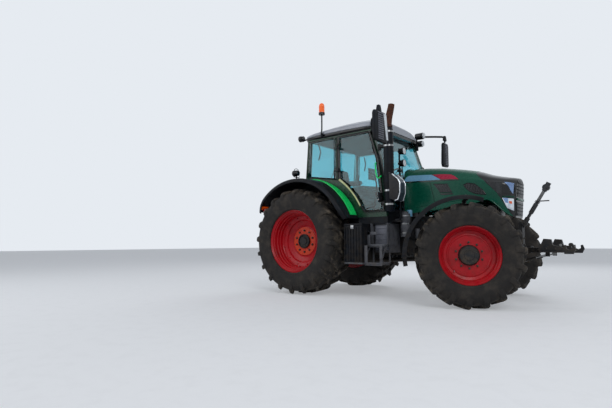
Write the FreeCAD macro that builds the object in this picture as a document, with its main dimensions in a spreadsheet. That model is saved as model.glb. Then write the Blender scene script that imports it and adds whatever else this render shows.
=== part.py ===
import FreeCAD, Part
import Sketcher
import math
import os
from FreeCAD import Placement, Rotation, Vector

# Farm tractor with four driven wheels, steered at the front.
# +X points forward, +Y to the driver's left, +Z up; the ground is z = 0.
# Each piece is drawn with the rear axle at x = 0 and then moved by rear_axle_x,
# so that the frame's origin lies under the middle of the whole tractor.

doc = FreeCAD.newDocument("farm_tractor")
sheet = doc.addObject("Spreadsheet::Sheet", "Sizes")

# Columns: alias, millimetres or degrees or a count, what it is
SIZES = (
    ("rear_axle_x", -1450, "rear axle behind the frame's origin"),
    ("wheelbase", 2900, "rear axle to front axle"),
    ("running_gap", 0.3, "gap between faces that turn against each other"),
    ("seat_gap", 0.6, "radial gap under a tyre's bead"),
    # Rear wheels
    ("rear_tyre_radius", 940, "over the lug tips, which is also the hub's height"),
    ("rear_tyre_half", 325, "half the tyre's width"),
    ("rear_lug_height", 48, "lug above the carcass"),
    ("rear_lugs", 20, "lugs on each side of a rear tyre"),
    ("rear_lug_width", 88, "rear lug's width, round the tyre"),
    ("rear_lug_sweep", 230, "how far a rear lug slants round the tyre"),
    ("rear_seat_radius", 533.4, "bead seat of the rear rim"),
    ("rear_flange_radius", 558, "rim flange of the rear rim"),
    ("rear_rim_half", 254, "half the width between the rear rim's flanges"),
    ("rear_wheel_y", 960, "centre of a rear wheel"),
    ("rear_disc_y", 12, "outer edge of the rear rim's dish from the wheel's centre"),
    ("rear_hub_radius", 150, "rear wheel's flange behind the disc"),
    ("rear_cap_radius", 118, "rear hub's cap in front of the disc"),
    # Front wheels
    ("front_tyre_radius", 726, "over the lug tips, which is also the hub's height"),
    ("front_tyre_half", 280, "half the tyre's width"),
    ("front_lug_height", 42, "lug above the carcass"),
    ("front_lugs", 18, "lugs on each side of a front tyre"),
    ("front_lug_width", 72, "front lug's width, round the tyre"),
    ("front_lug_sweep", 180, "how far a front lug slants round the tyre"),
    ("front_seat_radius", 381, "bead seat of the front rim"),
    ("front_flange_radius", 403, "rim flange of the front rim"),
    ("front_rim_half", 216, "half the width between the front rim's flanges"),
    ("kingpin_y", 750, "kingpin from the middle"),
    ("front_wheel_out", 235, "wheel's centre outboard of its kingpin"),
    ("front_disc_y", 120, "outer edge of the front rim's dish from the wheel's centre"),
    ("front_hub_radius", 135, "front wheel's flange behind the disc"),
    ("front_cap_radius", 139, "front hub's cap in front of the disc"),
    ("steer_angle", 25, "front wheels turned to the left, as they stand"),
    ("rim_wall", 18, "plate of the rims"),
    ("lug_root_depth", 105, "how deep a lug's root lies below the carcass's crown"),
    # Drive line
    ("housing_half", 230, "half the width of the gearbox housing"),
    ("housing_top", 1150, "top of the gearbox housing"),
    ("housing_bottom", 600, "bottom of the gearbox housing"),
    ("housing_back", 380, "housing behind the rear axle"),
    ("housing_front", 1700, "front face of the gearbox housing"),
    ("trumpet_radius", 130, "rear axle tube"),
    ("engine_half", 185, "half the width of the engine"),
    ("engine_front", 3080, "front face of the engine"),
    ("engine_bottom", 860, "bottom of the engine"),
    ("engine_top", 1340, "top of the engine"),
    ("rail_bottom", 800, "bottom of the front frame"),
    ("rail_front", 3380, "front end of the front frame"),
    ("beam_half_height", 72, "front axle beam"),
    ("beam_half_depth", 62, "front axle beam"),
    ("kingpin_half", 115, "half the height between the knuckle's arms"),
    # Hood
    ("hood_wall", 22, "thickness of the hood"),
    # Cab
    ("cab_half", 850, "half the width over the side glass"),
    ("cab_glass", 12, "thickness of the panes"),
    ("cab_floor_top", 1330, "cab floor"),
    ("cab_floor_thick", 110, "cab floor's thickness"),
    ("roof_bottom", 2820, "underside of the roof"),
    ("post_width", 60, "cab posts across"),
    # Fenders
    ("fender_centre_x", 30, "centre of the rear fender's arc ahead of the axle"),
    ("fender_centre_z", 920, "centre of the rear fender's arc"),
    ("fender_radius", 1150, "outer face of the rear fender"),
    ("door_edge_radius", 1300, "lower edge of the side glass about the same centre"),
    ("fender_wall", 16, "thickness of the rear fender"),
    ("fender_inner_y", 600, "inner wall of the rear fender"),
    ("fender_outer_y", 1270, "outer edge of the rear fender"),
    ("mudguard_radius", 830, "inner face of a front fender"),
    ("mudguard_back", 50, "centre of a front fender's arc behind the wheel's centre"),
    ("mudguard_drop", 15, "centre of a front fender's arc below the wheel's centre"),
    ("mudguard_wall", 12, "thickness of a front fender"),
    ("mudguard_lip", 50, "how far a front fender's outer edge is turned down"),
    ("mudguard_inner", 110, "front fender inboard of the wheel's centre"),
    ("mudguard_outer", 190, "front fender outboard of the wheel's centre"),
)

for row, (alias, number, words) in enumerate(SIZES, start=1):
    sheet.set(f"A{row}", words)
    sheet.set(f"B{row}", str(number))
    sheet.setAlias(f"B{row}", alias)
doc.recompute()


class Measure:
    """A length or an angle: its value and the formula that binds it to the sheet."""

    def __init__(self, value, formula):
        self.value = float(value)
        self.formula = formula

    def __add__(self, other):
        other = measure(other)
        return Measure(self.value + other.value, f"({self.formula} + {other.formula})")

    def __sub__(self, other):
        other = measure(other)
        return Measure(self.value - other.value, f"({self.formula} - {other.formula})")

    def __mul__(self, other):
        other = measure(other)
        return Measure(self.value * other.value, f"({self.formula} * {other.formula})")

    def __truediv__(self, other):
        other = measure(other)
        return Measure(self.value / other.value, f"({self.formula} / {other.formula})")

    def __rtruediv__(self, other):
        return measure(other) / self

    def __radd__(self, other):
        return measure(other) + self

    def __rsub__(self, other):
        return measure(other) - self

    def __rmul__(self, other):
        return measure(other) * self

    def __neg__(self):
        return measure(0) - self

    def __lt__(self, other):
        return self.value < measure(other).value

    def __gt__(self, other):
        return self.value > measure(other).value


def measure(number):
    """Any plain number as a Measure."""
    if isinstance(number, Measure):
        return number
    return Measure(number, f"({float(number):.9g})")


def size(alias):
    """The named cell of the sheet as a Measure."""
    return Measure(float(sheet.get(alias)), f"Sizes.{alias}")


def root_of(amount):
    """Square root of a Measure."""
    return Measure(math.sqrt(amount.value), f"sqrt({amount.formula})")


def cosine(angle):
    """Cosine of an angle in degrees."""
    angle = measure(angle)
    return Measure(math.cos(math.radians(angle.value)), f"cos({angle.formula} * 1 deg)")


def sine(angle):
    """Sine of an angle in degrees."""
    angle = measure(angle)
    return Measure(math.sin(math.radians(angle.value)), f"sin({angle.formula} * 1 deg)")


NODES = []
rear_x = size("rear_axle_x")


def bind(thing, prop, amount):
    """Sets a property and binds it to the sheet."""
    amount = measure(amount)
    if not prop.startswith("."):
        setattr(thing, prop, amount.value)
    thing.setExpression(prop, amount.formula)


def put(thing, x=0, y=0, z=0, axis=None, angle=0):
    """Binds an object's Placement, with an optional turn about an axis."""
    turn = Rotation(Vector(*axis), measure(angle).value) if axis else Rotation()
    thing.Placement = Placement(Vector(measure(x).value, measure(y).value, measure(z).value), turn)
    for letter, amount in (("x", x), ("y", y), ("z", z)):
        bind(thing, f".Placement.Base.{letter}", amount)
    if axis and isinstance(angle, Measure):
        bind(thing, ".Placement.Rotation.Angle", angle)
    return thing


def keep(thing, label, x=None, y=0, z=0, axis=None, angle=0):
    """Names a finished sub-part and puts it in the tractor's frame."""
    if thing.TypeId in ("Part::Box", "Part::Cylinder"):
        # A plain block already holds its corner in its own placement
        thing.Label = label + "_form"
        thing = group(label + "_group", [thing])
    thing.Label = label
    put(thing, rear_x if x is None else x, y, z, axis, angle)
    NODES.append(thing)
    return thing


PLANES = {"side": ("XZ_Plane", -1), "front": ("YZ_Plane", 1), "plan": ("XY_Plane", 1)}


def origin_feature(body, role):
    """One of the body's own origin planes or axes."""
    return [part for part in body.Origin.OriginFeatures if part.Role == role][0]


def outline(body, plane, points, arcs=None, offset=0, name="outline", turn=None):
    """A closed sketch on an origin plane, every corner bound to the sheet.

    points are (across, up) pairs; arcs maps a corner's number to the height of
    the arc that bulges to the right of the line from that corner to the next.
    turn swings a plan sketch about the body's Y axis, by degrees.
    """
    role, sign = PLANES[plane]
    sketch = body.newObject("Sketcher::SketchObject", name)
    sketch.AttachmentSupport = [(origin_feature(body, role), "")]
    sketch.MapMode = "FlatFace"
    if turn:
        sketch.AttachmentOffset = Placement(Vector(), Rotation(Vector(0, 1, 0), turn.value))
        bind(sketch, ".AttachmentOffset.Rotation.Angle", turn)
        bind(sketch, ".AttachmentOffset.Base.x", offset * sine(turn))
        bind(sketch, ".AttachmentOffset.Base.z", offset * cosine(turn))
    else:
        bind(sketch, ".AttachmentOffset.Base.z", measure(offset) * sign)
    arcs = arcs or {}
    corners = [(measure(across), measure(up)) for across, up in points]
    values = [Vector(across.value, up.value, 0) for across, up in corners]
    count = len(corners)
    edges = []
    for index in range(count):
        start, end = values[index], values[(index + 1) % count]
        if index in arcs:
            chord = end - start
            right = Vector(chord.y, -chord.x, 0).normalize()
            middle = (start + end) * 0.5 + right * measure(arcs[index]).value
            edges.append(Part.Arc(start, middle, end))
        else:
            edges.append(Part.LineSegment(start, end))
    sketch.addGeometry(edges, False)
    # An arc always runs counter-clockwise, so its first point may be either end
    first = {}
    for index in range(count):
        is_start = sketch.getPoint(index, 1).isEqual(values[index], 1e-6)
        first[index] = (1, 2) if is_start else (2, 1)
    rules = []
    for index in range(count):
        following = (index + 1) % count
        rules.append(Sketcher.Constraint("Coincident", index, first[index][1],
                                         following, first[following][0]))
    sketch.addConstraint(rules)
    for index, (across, up) in enumerate(corners):
        for kind, amount in (("DistanceX", across), ("DistanceY", up)):
            number = sketch.addConstraint(
                Sketcher.Constraint(kind, -1, 1, index, first[index][0], amount.value))
            sketch.setExpression(f"Constraints[{number}]", amount.formula)
    for index, height in arcs.items():
        start, end = corners[index], corners[(index + 1) % count]
        height = measure(height)
        wide, tall = end[0] - start[0], end[1] - start[1]
        radius = (wide * wide + tall * tall) / (height * 8) + height / 2
        number = sketch.addConstraint(Sketcher.Constraint("Radius", index, abs(radius.value)))
        sketch.setExpression(f"Constraints[{number}]", f"abs({radius.formula})")
    return sketch


def new_body(name):
    """An empty PartDesign body."""
    return doc.addObject("PartDesign::Body", name)


def pad(body, sketch, length, kind="PartDesign::Pad", middle=False, reverse=False, name="pad"):
    """A pad or pocket of a sketch; its length is bound."""
    feature = body.newObject(kind, name)
    feature.Profile = sketch
    bind(feature, "Length", length)
    if middle:
        feature.SideType = "Symmetric"
    feature.Reversed = reverse
    return feature


def slab(name, plane, points, low, high, arcs=None):
    """A body padded from one station to another along its plane's axis."""
    body = new_body(name)
    sketch = outline(body, plane, points, arcs, low)
    pad(body, sketch, measure(high) - low, reverse=plane == "side")
    return body


def lathe(name, points, arcs=None):
    """A body turned about its Y axis; points are (y, radius) pairs."""
    body = new_body(name)
    sketch = outline(body, "front", points, arcs)
    turn = body.newObject("PartDesign::Revolution", "turned")
    turn.Profile = sketch
    turn.ReferenceAxis = (origin_feature(body, "Y_Axis"), [""])
    turn.Angle = 360
    return body


def block(name, low, high):
    """A Part::Box between two corners."""
    box = doc.addObject("Part::Box", name)
    for prop, start, end in zip(("Length", "Width", "Height"), low, high):
        bind(box, prop, measure(end) - start)
    return put(box, *low)


def rod(name, start, end, radius):
    """A Part::Cylinder from start to end along one axis of the frame."""
    start = [measure(amount) for amount in start]
    end = [measure(amount) for amount in end]
    tube = doc.addObject("Part::Cylinder", name)
    bind(tube, "Radius", radius)
    run = [finish.value - begin.value for begin, finish in zip(start, end)]
    along = max(range(3), key=lambda index: abs(run[index]))
    low, high = (start, end) if run[along] > 0 else (end, start)
    bind(tube, "Height", high[along] - low[along])
    axis, angle = (((0, 1, 0), 90), ((-1, 0, 0), 90), (None, 0))[along]
    return put(tube, *low, axis, angle)


def strut(name, start, end, radius):
    """A round bar between any two points, as a solid of the Part module."""
    start = Vector(*[measure(amount).value for amount in start])
    end = Vector(*[measure(amount).value for amount in end])
    bar = doc.addObject("Part::Feature", name)
    bar.Shape = Part.makeCylinder(measure(radius).value, (end - start).Length, start, end - start)
    return bar


def fuse(name, pieces):
    """A Part::MultiFuse of several pieces."""
    joined = doc.addObject("Part::MultiFuse", name)
    joined.Shapes = list(pieces)
    joined.Refine = True
    return joined


def group(name, pieces):
    """Several solids that don't touch, kept as one sub-part."""
    several = doc.addObject("Part::Compound", name)
    several.Links = list(pieces)
    return several


def cut(name, base, tool):
    """A Part::Cut."""
    left = doc.addObject("Part::Cut", name)
    left.Base = base
    left.Tool = tool
    return left


def arc_point(radius, angle, x=size("fender_centre_x"), z=size("fender_centre_z")):
    """A point of a circle in the side view, by its angle from straight ahead."""
    return (x + radius * cosine(angle), z + radius * sine(angle))


def arc_height(radius, angle):
    """Height of an arc over its chord, for the angle that it spans."""
    return radius * (1 - cosine(angle / 2))


SIDES = (("left", 1), ("right", -1))


def facet_solid(rings):
    """A solid with flat faces between closed rings of as many corners each."""
    faces = [Part.Face(Part.makePolygon(ring + ring[:1])) for ring in (rings[0], rings[-1])]
    for near, far in zip(rings, rings[1:]):
        for corner in range(len(near)):
            after = (corner + 1) % len(near)
            sides = [near[corner], near[after], far[after], far[corner]]
            normal = (sides[1] - sides[0]).cross(sides[2] - sides[0]).normalize()
            if abs(normal.dot(sides[3] - sides[0])) < 1e-6:
                faces.append(Part.Face(Part.makePolygon(sides + sides[:1])))
                continue
            # A twisted field becomes two triangles
            for triangle in ((0, 1, 2), (0, 2, 3)):
                loop = [sides[index] for index in triangle]
                faces.append(Part.Face(Part.makePolygon(loop + loop[:1])))
    return Part.Solid(Part.Shell(faces))


def facet_loft(name, rows, count, first_corner):
    """A solid with flat faces between regular polygons across the Y axis.

    rows are (y, radius) pairs; first_corner is a corner's angle from +X towards +Z.
    """
    rings = []
    for across, up in rows:
        angles = [math.radians(first_corner + 360 * corner / count) for corner in range(count)]
        rings.append([Vector(up.value * math.cos(angle), across.value, up.value * math.sin(angle))
                      for angle in angles])
    solid = doc.addObject("Part::Feature", name)
    solid.Shape = facet_solid(rings)
    return solid


# Tyres
def make_tyre(kind, label, way):
    """A tyre whose carcass has flat facets, with two rows of slanted lugs.

    kind is rear or front. way is +1 where the wheel's outer side faces +Y and -1 where it
    is turned round. The facets of one half are turned by half a lug against the other's, so
    that each lug stands in the middle of a facet.
    """
    half, lugs = size(kind + "_tyre_half"), size(kind + "_lugs")
    bead_half, bead_radius = size(kind + "_rim_half"), size(kind + "_seat_radius")
    radius, sweep = size(kind + "_tyre_radius"), size(kind + "_lug_sweep")
    count = int(round(lugs.value))
    crown = radius - size(kind + "_lug_height")
    # Columns: station across the half, radius of the section
    rows = (
        (measure(0), crown),
        (half * 0.8, crown),
        (half, bead_radius + (crown - bead_radius) * 0.52),
        (bead_half, bead_radius + 40),
    )
    pitch = 360 / count
    halves = []
    for side in (1, -1):
        # A facet's middle lies at the top on one side, and a corner on the other
        top_corner = 90 + pitch / 2 if side > 0 else 90
        halves.append(facet_loft("half_carcass", [(across * side, up) for across, up in rows],
                                 count, top_corner))
    bore = doc.addObject("Part::Prism", "bore")
    bore.Polygon = 2 * count
    flat = 1.0 / math.cos(math.pi / (2 * count))
    bind(bore, "Circumradius", (bead_radius + size("seat_gap")) * flat)
    bind(bore, "Height", bead_half * 2)
    put(bore, 0, -bead_half, 0, (1, 0, 0), -90)
    ring_body = new_body("tyre_" + label)
    ring_body.BaseFeature = cut("carcass_ring", fuse("carcass", halves), bore)
    doc.recompute()
    width = size(kind + "_lug_width")
    reach = sweep / 2 - width / 2
    tip_z = root_of(radius * radius - sweep * sweep / 4)
    root_z = crown - size("lug_root_depth")
    inner, outer = 10, half - 25
    for side in (1, -1):
        corners = [
            (reach * way - width / 2, inner * side),
            (reach * way + width / 2, inner * side),
            (-reach * way + width / 2, outer * side),
            (-reach * way - width / 2, outer * side),
        ]
        turn = 180 / lugs if side < 0 else None
        footprint = outline(ring_body, "plan", corners, None, root_z, "lug_section", turn)
        lug = pad(ring_body, footprint, tip_z - root_z, name="lug")
        pattern = ring_body.newObject("PartDesign::PolarPattern", "lug_row")
        pattern.Originals = [lug]
        pattern.Axis = (origin_feature(ring_body, "Y_Axis"), [""])
        pattern.Angle = 360
        pattern.Occurrences = count
        ring_body.Tip = pattern
    return ring_body


# Columns: distance behind the dish's outer edge, share of the barrel's inner radius
DISHES = {
    "rear": ((0, 1), (0, 0.79), (44, 0.79), (44, 0.7), (64, 0.7)),
    "front": ((0, 1), (0, 0.92), (14, 0.92)),
}


def make_rim(kind, cap_face, back):
    """A rim with its flanges, stepped dish and hub, turned about Y.

    cap_face is the hub cap's outer face from the wheel's centre, back the hub's inner face.
    """
    wall, half = size("rim_wall"), size(kind + "_rim_half")
    seat, flange = size(kind + "_seat_radius"), size(kind + "_flange_radius")
    dish, hub, cap = size(kind + "_disc_y"), size(kind + "_hub_radius"), size(kind + "_cap_radius")
    barrel = seat - wall
    steps = DISHES[kind]
    deepest = dish - steps[-1][0]
    points = [(half + wall, barrel), (half + wall, flange), (half, flange), (half, seat),
              (-half, seat), (-half, flange), (-half - wall, flange), (-half - wall, barrel)]
    points.append((dish - wall, barrel))
    points += [(dish - behind - wall, barrel * share + wall) for behind, share in steps[1:]]
    points += [(deepest - wall, hub), (back, hub), (back, 0), (cap_face, 0), (cap_face, cap),
               (deepest, cap)]
    points += [(dish - behind, barrel * share) for behind, share in steps[::-1]]
    return lathe("rim_" + kind, points)


def hub_height(kind):
    """Height of a hub whose tyre stands on the corners of two neighbouring lugs."""
    radius, lugs = size(kind + "_tyre_radius"), size(kind + "_lugs")
    slant = size(kind + "_lug_sweep") / 2 / radius
    return radius * (cosine(180 / lugs) * root_of(1 - slant * slant) + sine(180 / lugs) * slant)


rear_hub_z = hub_height("rear")
front_hub_z = hub_height("front")
rear_cap_face, rear_hub_back = -20, -130
front_cap_face, front_hub_back = 165, -60
guard_ends = (71, 190)
gap = size("running_gap")
steer = size("steer_angle")
wheelbase = size("wheelbase")
kingpin_y = size("kingpin_y")

for side_name, side in SIDES:
    tyre = make_tyre("rear", "rear_" + side_name, side)
    rim = make_rim("rear", rear_cap_face, rear_hub_back)
    half_turn = 90 - 90 * side
    place = (rear_x, size("rear_wheel_y") * side, rear_hub_z, (0, 0, 1), half_turn)
    keep(tyre, "tyre_rear_" + side_name, *place)
    keep(rim, "rim_rear_" + side_name, *place)

# Front wheels, knuckles and front fenders, turned together about the kingpins
for side_name, side in SIDES:
    out = size("front_wheel_out")
    tyre = make_tyre("front", "front_" + side_name, side)
    rim = make_rim("front", front_cap_face, front_hub_back)
    turned = steer + (90 - 90 * side)
    place = (rear_x + wheelbase - out * sine(steer) * side,
             (kingpin_y + out * cosine(steer)) * side, front_hub_z, (0, 0, 1), turned)
    keep(tyre, "tyre_front_" + side_name, *place)
    keep(rim, "rim_front_" + side_name, *place)

    arm = size("kingpin_half")
    plate = 32
    low_y, high_y = sorted((-62 * side, 130 * side))
    face = 95 * side
    back_y = (out + front_hub_back - gap) * side
    pieces = []
    for level in (arm, -arm - plate):
        pieces.append(block("yoke_arm", (-72, low_y, level), (72, high_y, level + plate)))
    low_y, high_y = sorted((face, face + 40 * side))
    pieces.append(block("yoke_back", (-110, low_y, -arm - plate), (110, high_y, arm + plate)))
    hub_rod = doc.addObject("Part::Cylinder", "hub_gear")
    bind(hub_rod, "Radius", size("front_hub_radius"))
    bind(hub_rod, "Height", (back_y - face) * side)
    put(hub_rod, 0, face, 0, (-side, 0, 0), 90)
    pieces.append(hub_rod)
    pieces.append(block("steering_arm", (-295, -34, -arm - plate), (-60, 34, -arm)))
    pieces.append(rod("steering_pin", (-260, 0, -arm - plate - 40), (-260, 0, -arm - 5), 14))
    keep(fuse("knuckle_" + side_name, pieces), "knuckle_" + side_name,
         rear_x + wheelbase, kingpin_y * side, front_hub_z, (0, 0, 1), steer)

    # Front fender: a thin arc over the tyre's rear half, on a post from the yoke
    guard_in, wall = size("mudguard_radius"), size("mudguard_wall")
    guard_out = guard_in + wall
    guard_back, guard_drop = size("mudguard_back"), size("mudguard_drop")
    near, far = out - size("mudguard_inner"), out + size("mudguard_outer")
    pieces = []
    # Columns: outer radius, inner radius, nearer edge, further edge
    for outer, inner, low_y, high_y in (
            (guard_out, guard_in, near, far),
            (guard_in + wall / 2, guard_in - size("mudguard_lip"), far - wall, far)):
        corners = [arc_point(radius, angle, -guard_back, -guard_drop)
                   for radius, angle in ((outer, guard_ends[0]), (outer, guard_ends[1]),
                                         (inner, guard_ends[1]), (inner, guard_ends[0]))]
        span = guard_ends[1] - guard_ends[0]
        arcs = {0: arc_height(outer, span), 2: -arc_height(inner, span)}
        low_y, high_y = (low_y, high_y) if side > 0 else (-high_y, -low_y)
        pieces.append(slab("guard_sheet", "side", corners, low_y, high_y, arcs))
    # Height of the arc's inner face above the wheel's centre
    guard_top = root_of(guard_in * guard_in - guard_back * guard_back) - guard_drop
    low_y, high_y = sorted((-80 * side, -52 * side))
    pieces.append(block("guard_post", (-32, low_y, arm + plate), (32, high_y, guard_top - 40)))
    low_y, high_y = sorted((-80 * side, 300 * side))
    pieces.append(block("guard_bracket", (-32, low_y, guard_top - 40),
                        (32, high_y, guard_top - 20)))
    low_y, high_y = sorted((200 * side, 300 * side))
    pieces.append(block("guard_pad", (-32, low_y, guard_top - 40), (32, high_y, guard_top + 6)))
    keep(fuse("front_fender", pieces), "front_fender_" + side_name,
         rear_x + wheelbase, kingpin_y * side, front_hub_z, (0, 0, 1), steer)

# Tie rod behind the front axle, between the knuckles' pins
arm_back = 260
pin_x = wheelbase - arm_back * cosine(steer)
pin_shift = arm_back * sine(steer)
rod_z = front_hub_z - size("kingpin_half") - 32 - 26
rod_parts = [rod("tie_bar", (pin_x, pin_shift * -1 - kingpin_y + 30, rod_z),
                 (pin_x, kingpin_y - pin_shift - 30, rod_z), 17)]
for side in (1, -1):
    eye = rod("tie_eye", (pin_x, kingpin_y * side - pin_shift, rod_z - 18),
              (pin_x, kingpin_y * side - pin_shift, rod_z + 18), 36)
    rod_parts.append(eye)
bores = [rod("tie_bore", (pin_x, kingpin_y * side - pin_shift, rod_z - 20),
             (pin_x, kingpin_y * side - pin_shift, rod_z + 20), 14.3) for side in (1, -1)]
tie = cut("tie_rod", fuse("tie_body", rod_parts), group("tie_bores", bores))
keep(tie, "tie_rod")

# Gearbox housing, rear axle tubes and drive stubs
floor_top = size("cab_floor_top")
floor_bottom = floor_top - size("cab_floor_thick")
half = size("housing_half")
top, bottom = size("housing_top"), size("housing_bottom")
back, front = size("housing_back"), size("housing_front")
housing = slab("housing", "side", (
    (-back, bottom + 180), (-back + 130, bottom), (600, bottom), (760, bottom + 90),
    (front, bottom + 90), (front, floor_bottom), (900, floor_bottom), (600, top), (-back, top)),
    -half, half)
link_pins = [rod("link_pin", (-200, -312, 670), (-200, 312, 670), 18)]
for side in (1, -1):
    low_y, high_y = sorted((half * side, 257 * side))
    link_pins.append(block("link_boss", (-250, low_y, 640), (-150, high_y, 700)))
bearings = []
for side in (1, -1):
    low_y, high_y = sorted((170 * side, 215 * side))
    bearings.append(block("shaft_bearing", (-350, low_y, top), (-252, high_y, top + 80)))
lift_bore = rod("lift_bore", (-300, -240, top + 40), (-300, 240, top + 40), 28.05)
keep(cut("transmission", fuse("housing_body", [housing] + link_pins + bearings), lift_bore),
     "transmission_housing")

inner_end = size("rear_wheel_y") + rear_hub_back - gap
tubes = []
for side in (1, -1):
    tubes.append(rod("trumpet", (0, half * side, rear_hub_z),
                     (0, inner_end * side, rear_hub_z), size("trumpet_radius")))
keep(group("rear_axle", tubes), "rear_axle")

# Engine, front frame and front axle beam
engine_half = size("engine_half")
keep(block("engine_block", (front, -engine_half, size("engine_bottom")),
           (size("engine_front"), engine_half, size("engine_top"))), "engine_block")
rail_top = size("engine_bottom")
rail_low = size("rail_bottom")
keep(slab("front_frame", "side", (
    (front, rail_low - 80), (2300, rail_low - 80), (2400, rail_low), (size("rail_front"), rail_low),
    (size("rail_front"), rail_top + 160), (size("engine_front"), rail_top + 160),
    (size("engine_front"), rail_top), (front, rail_top)), -engine_half, engine_half), "front_frame")
beam_half, beam_deep = size("beam_half_height"), size("beam_half_depth")
beam = [block("beam", (wheelbase - beam_deep, 20 - kingpin_y, front_hub_z - beam_half),
              (wheelbase + beam_deep, kingpin_y - 20, front_hub_z + beam_half)),
        block("saddle", (wheelbase - 170, -120, front_hub_z - beam_half + 30),
              (wheelbase + 170, 120, rail_low))]
for side in (1, -1):
    reach = size("kingpin_half") - gap
    beam.append(rod("beam_end", (wheelbase, kingpin_y * side, front_hub_z - reach),
                    (wheelbase, kingpin_y * side, front_hub_z + reach), 60))
keep(fuse("front_axle_beam", beam), "front_axle_beam")


# Rear fenders: a crown, an outer lip and an inner wall beside the cab
fender_out = size("fender_radius")
fender_wall = size("fender_wall")
fender_ends = (20, 149)
fender_lamp_x, fender_lamp_y, fender_lamp_z = -110, 1010, 2200
for side_name, side in SIDES:
    span = fender_ends[1] - fender_ends[0]
    pieces = []
    # Columns: outer radius, inner radius, nearer y, further y
    for outer, inner, near, far in (
            (fender_out, fender_out - fender_wall, size("fender_inner_y"), size("fender_outer_y")),
            (fender_out, fender_out - 70, size("fender_outer_y") - 22, size("fender_outer_y")),
            (fender_out, fender_out - 330, size("fender_inner_y"),
             size("fender_inner_y") + fender_wall)):
        corners = [arc_point(outer, fender_ends[0]), arc_point(outer, fender_ends[1]),
                   arc_point(inner, fender_ends[1]), arc_point(inner, fender_ends[0])]
        arcs = {0: arc_height(outer, span), 2: -arc_height(inner, span)}
        low_y, high_y = (near, far) if side > 0 else (-far, -near)
        pieces.append(slab("fender_sheet", "side", corners, low_y, high_y, arcs))
    lamp_y = fender_lamp_y * side
    pieces.append(rod("lamp_post", (fender_lamp_x, lamp_y, 2050),
                      (fender_lamp_x, lamp_y, fender_lamp_z), 13))
    pieces.append(rod("lamp_case", (fender_lamp_x - 70, lamp_y, fender_lamp_z),
                      (fender_lamp_x + 55, lamp_y, fender_lamp_z), 55))
    keep(fuse("rear_fender", pieces), "rear_fender_" + side_name)

# Cab: floor, rear wall, side frames, cross frames, panes and roof
inner_y = size("fender_inner_y")
cab_half = size("cab_half")
roof_low = size("roof_bottom")
frame_out = cab_half - 20
frame_in = frame_out - size("post_width")
keep(fuse("cab_floor", [
    block("floor_wide", (1130, -frame_out, floor_bottom), (1680, frame_out, floor_top)),
    block("floor_rear", (-250, -inner_y, floor_bottom + 60), (1130, inner_y, floor_top)),
    block("rear_wall", (-250, -inner_y, floor_top), (-215, inner_y, 2040)),
    block("shelf", (-250, -inner_y, 2040), (20, inner_y, 2075)),
    block("firewall", (1600, -frame_in, floor_top), (1660, frame_in, floor_top + 130)),
]), "cab_floor")

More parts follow.
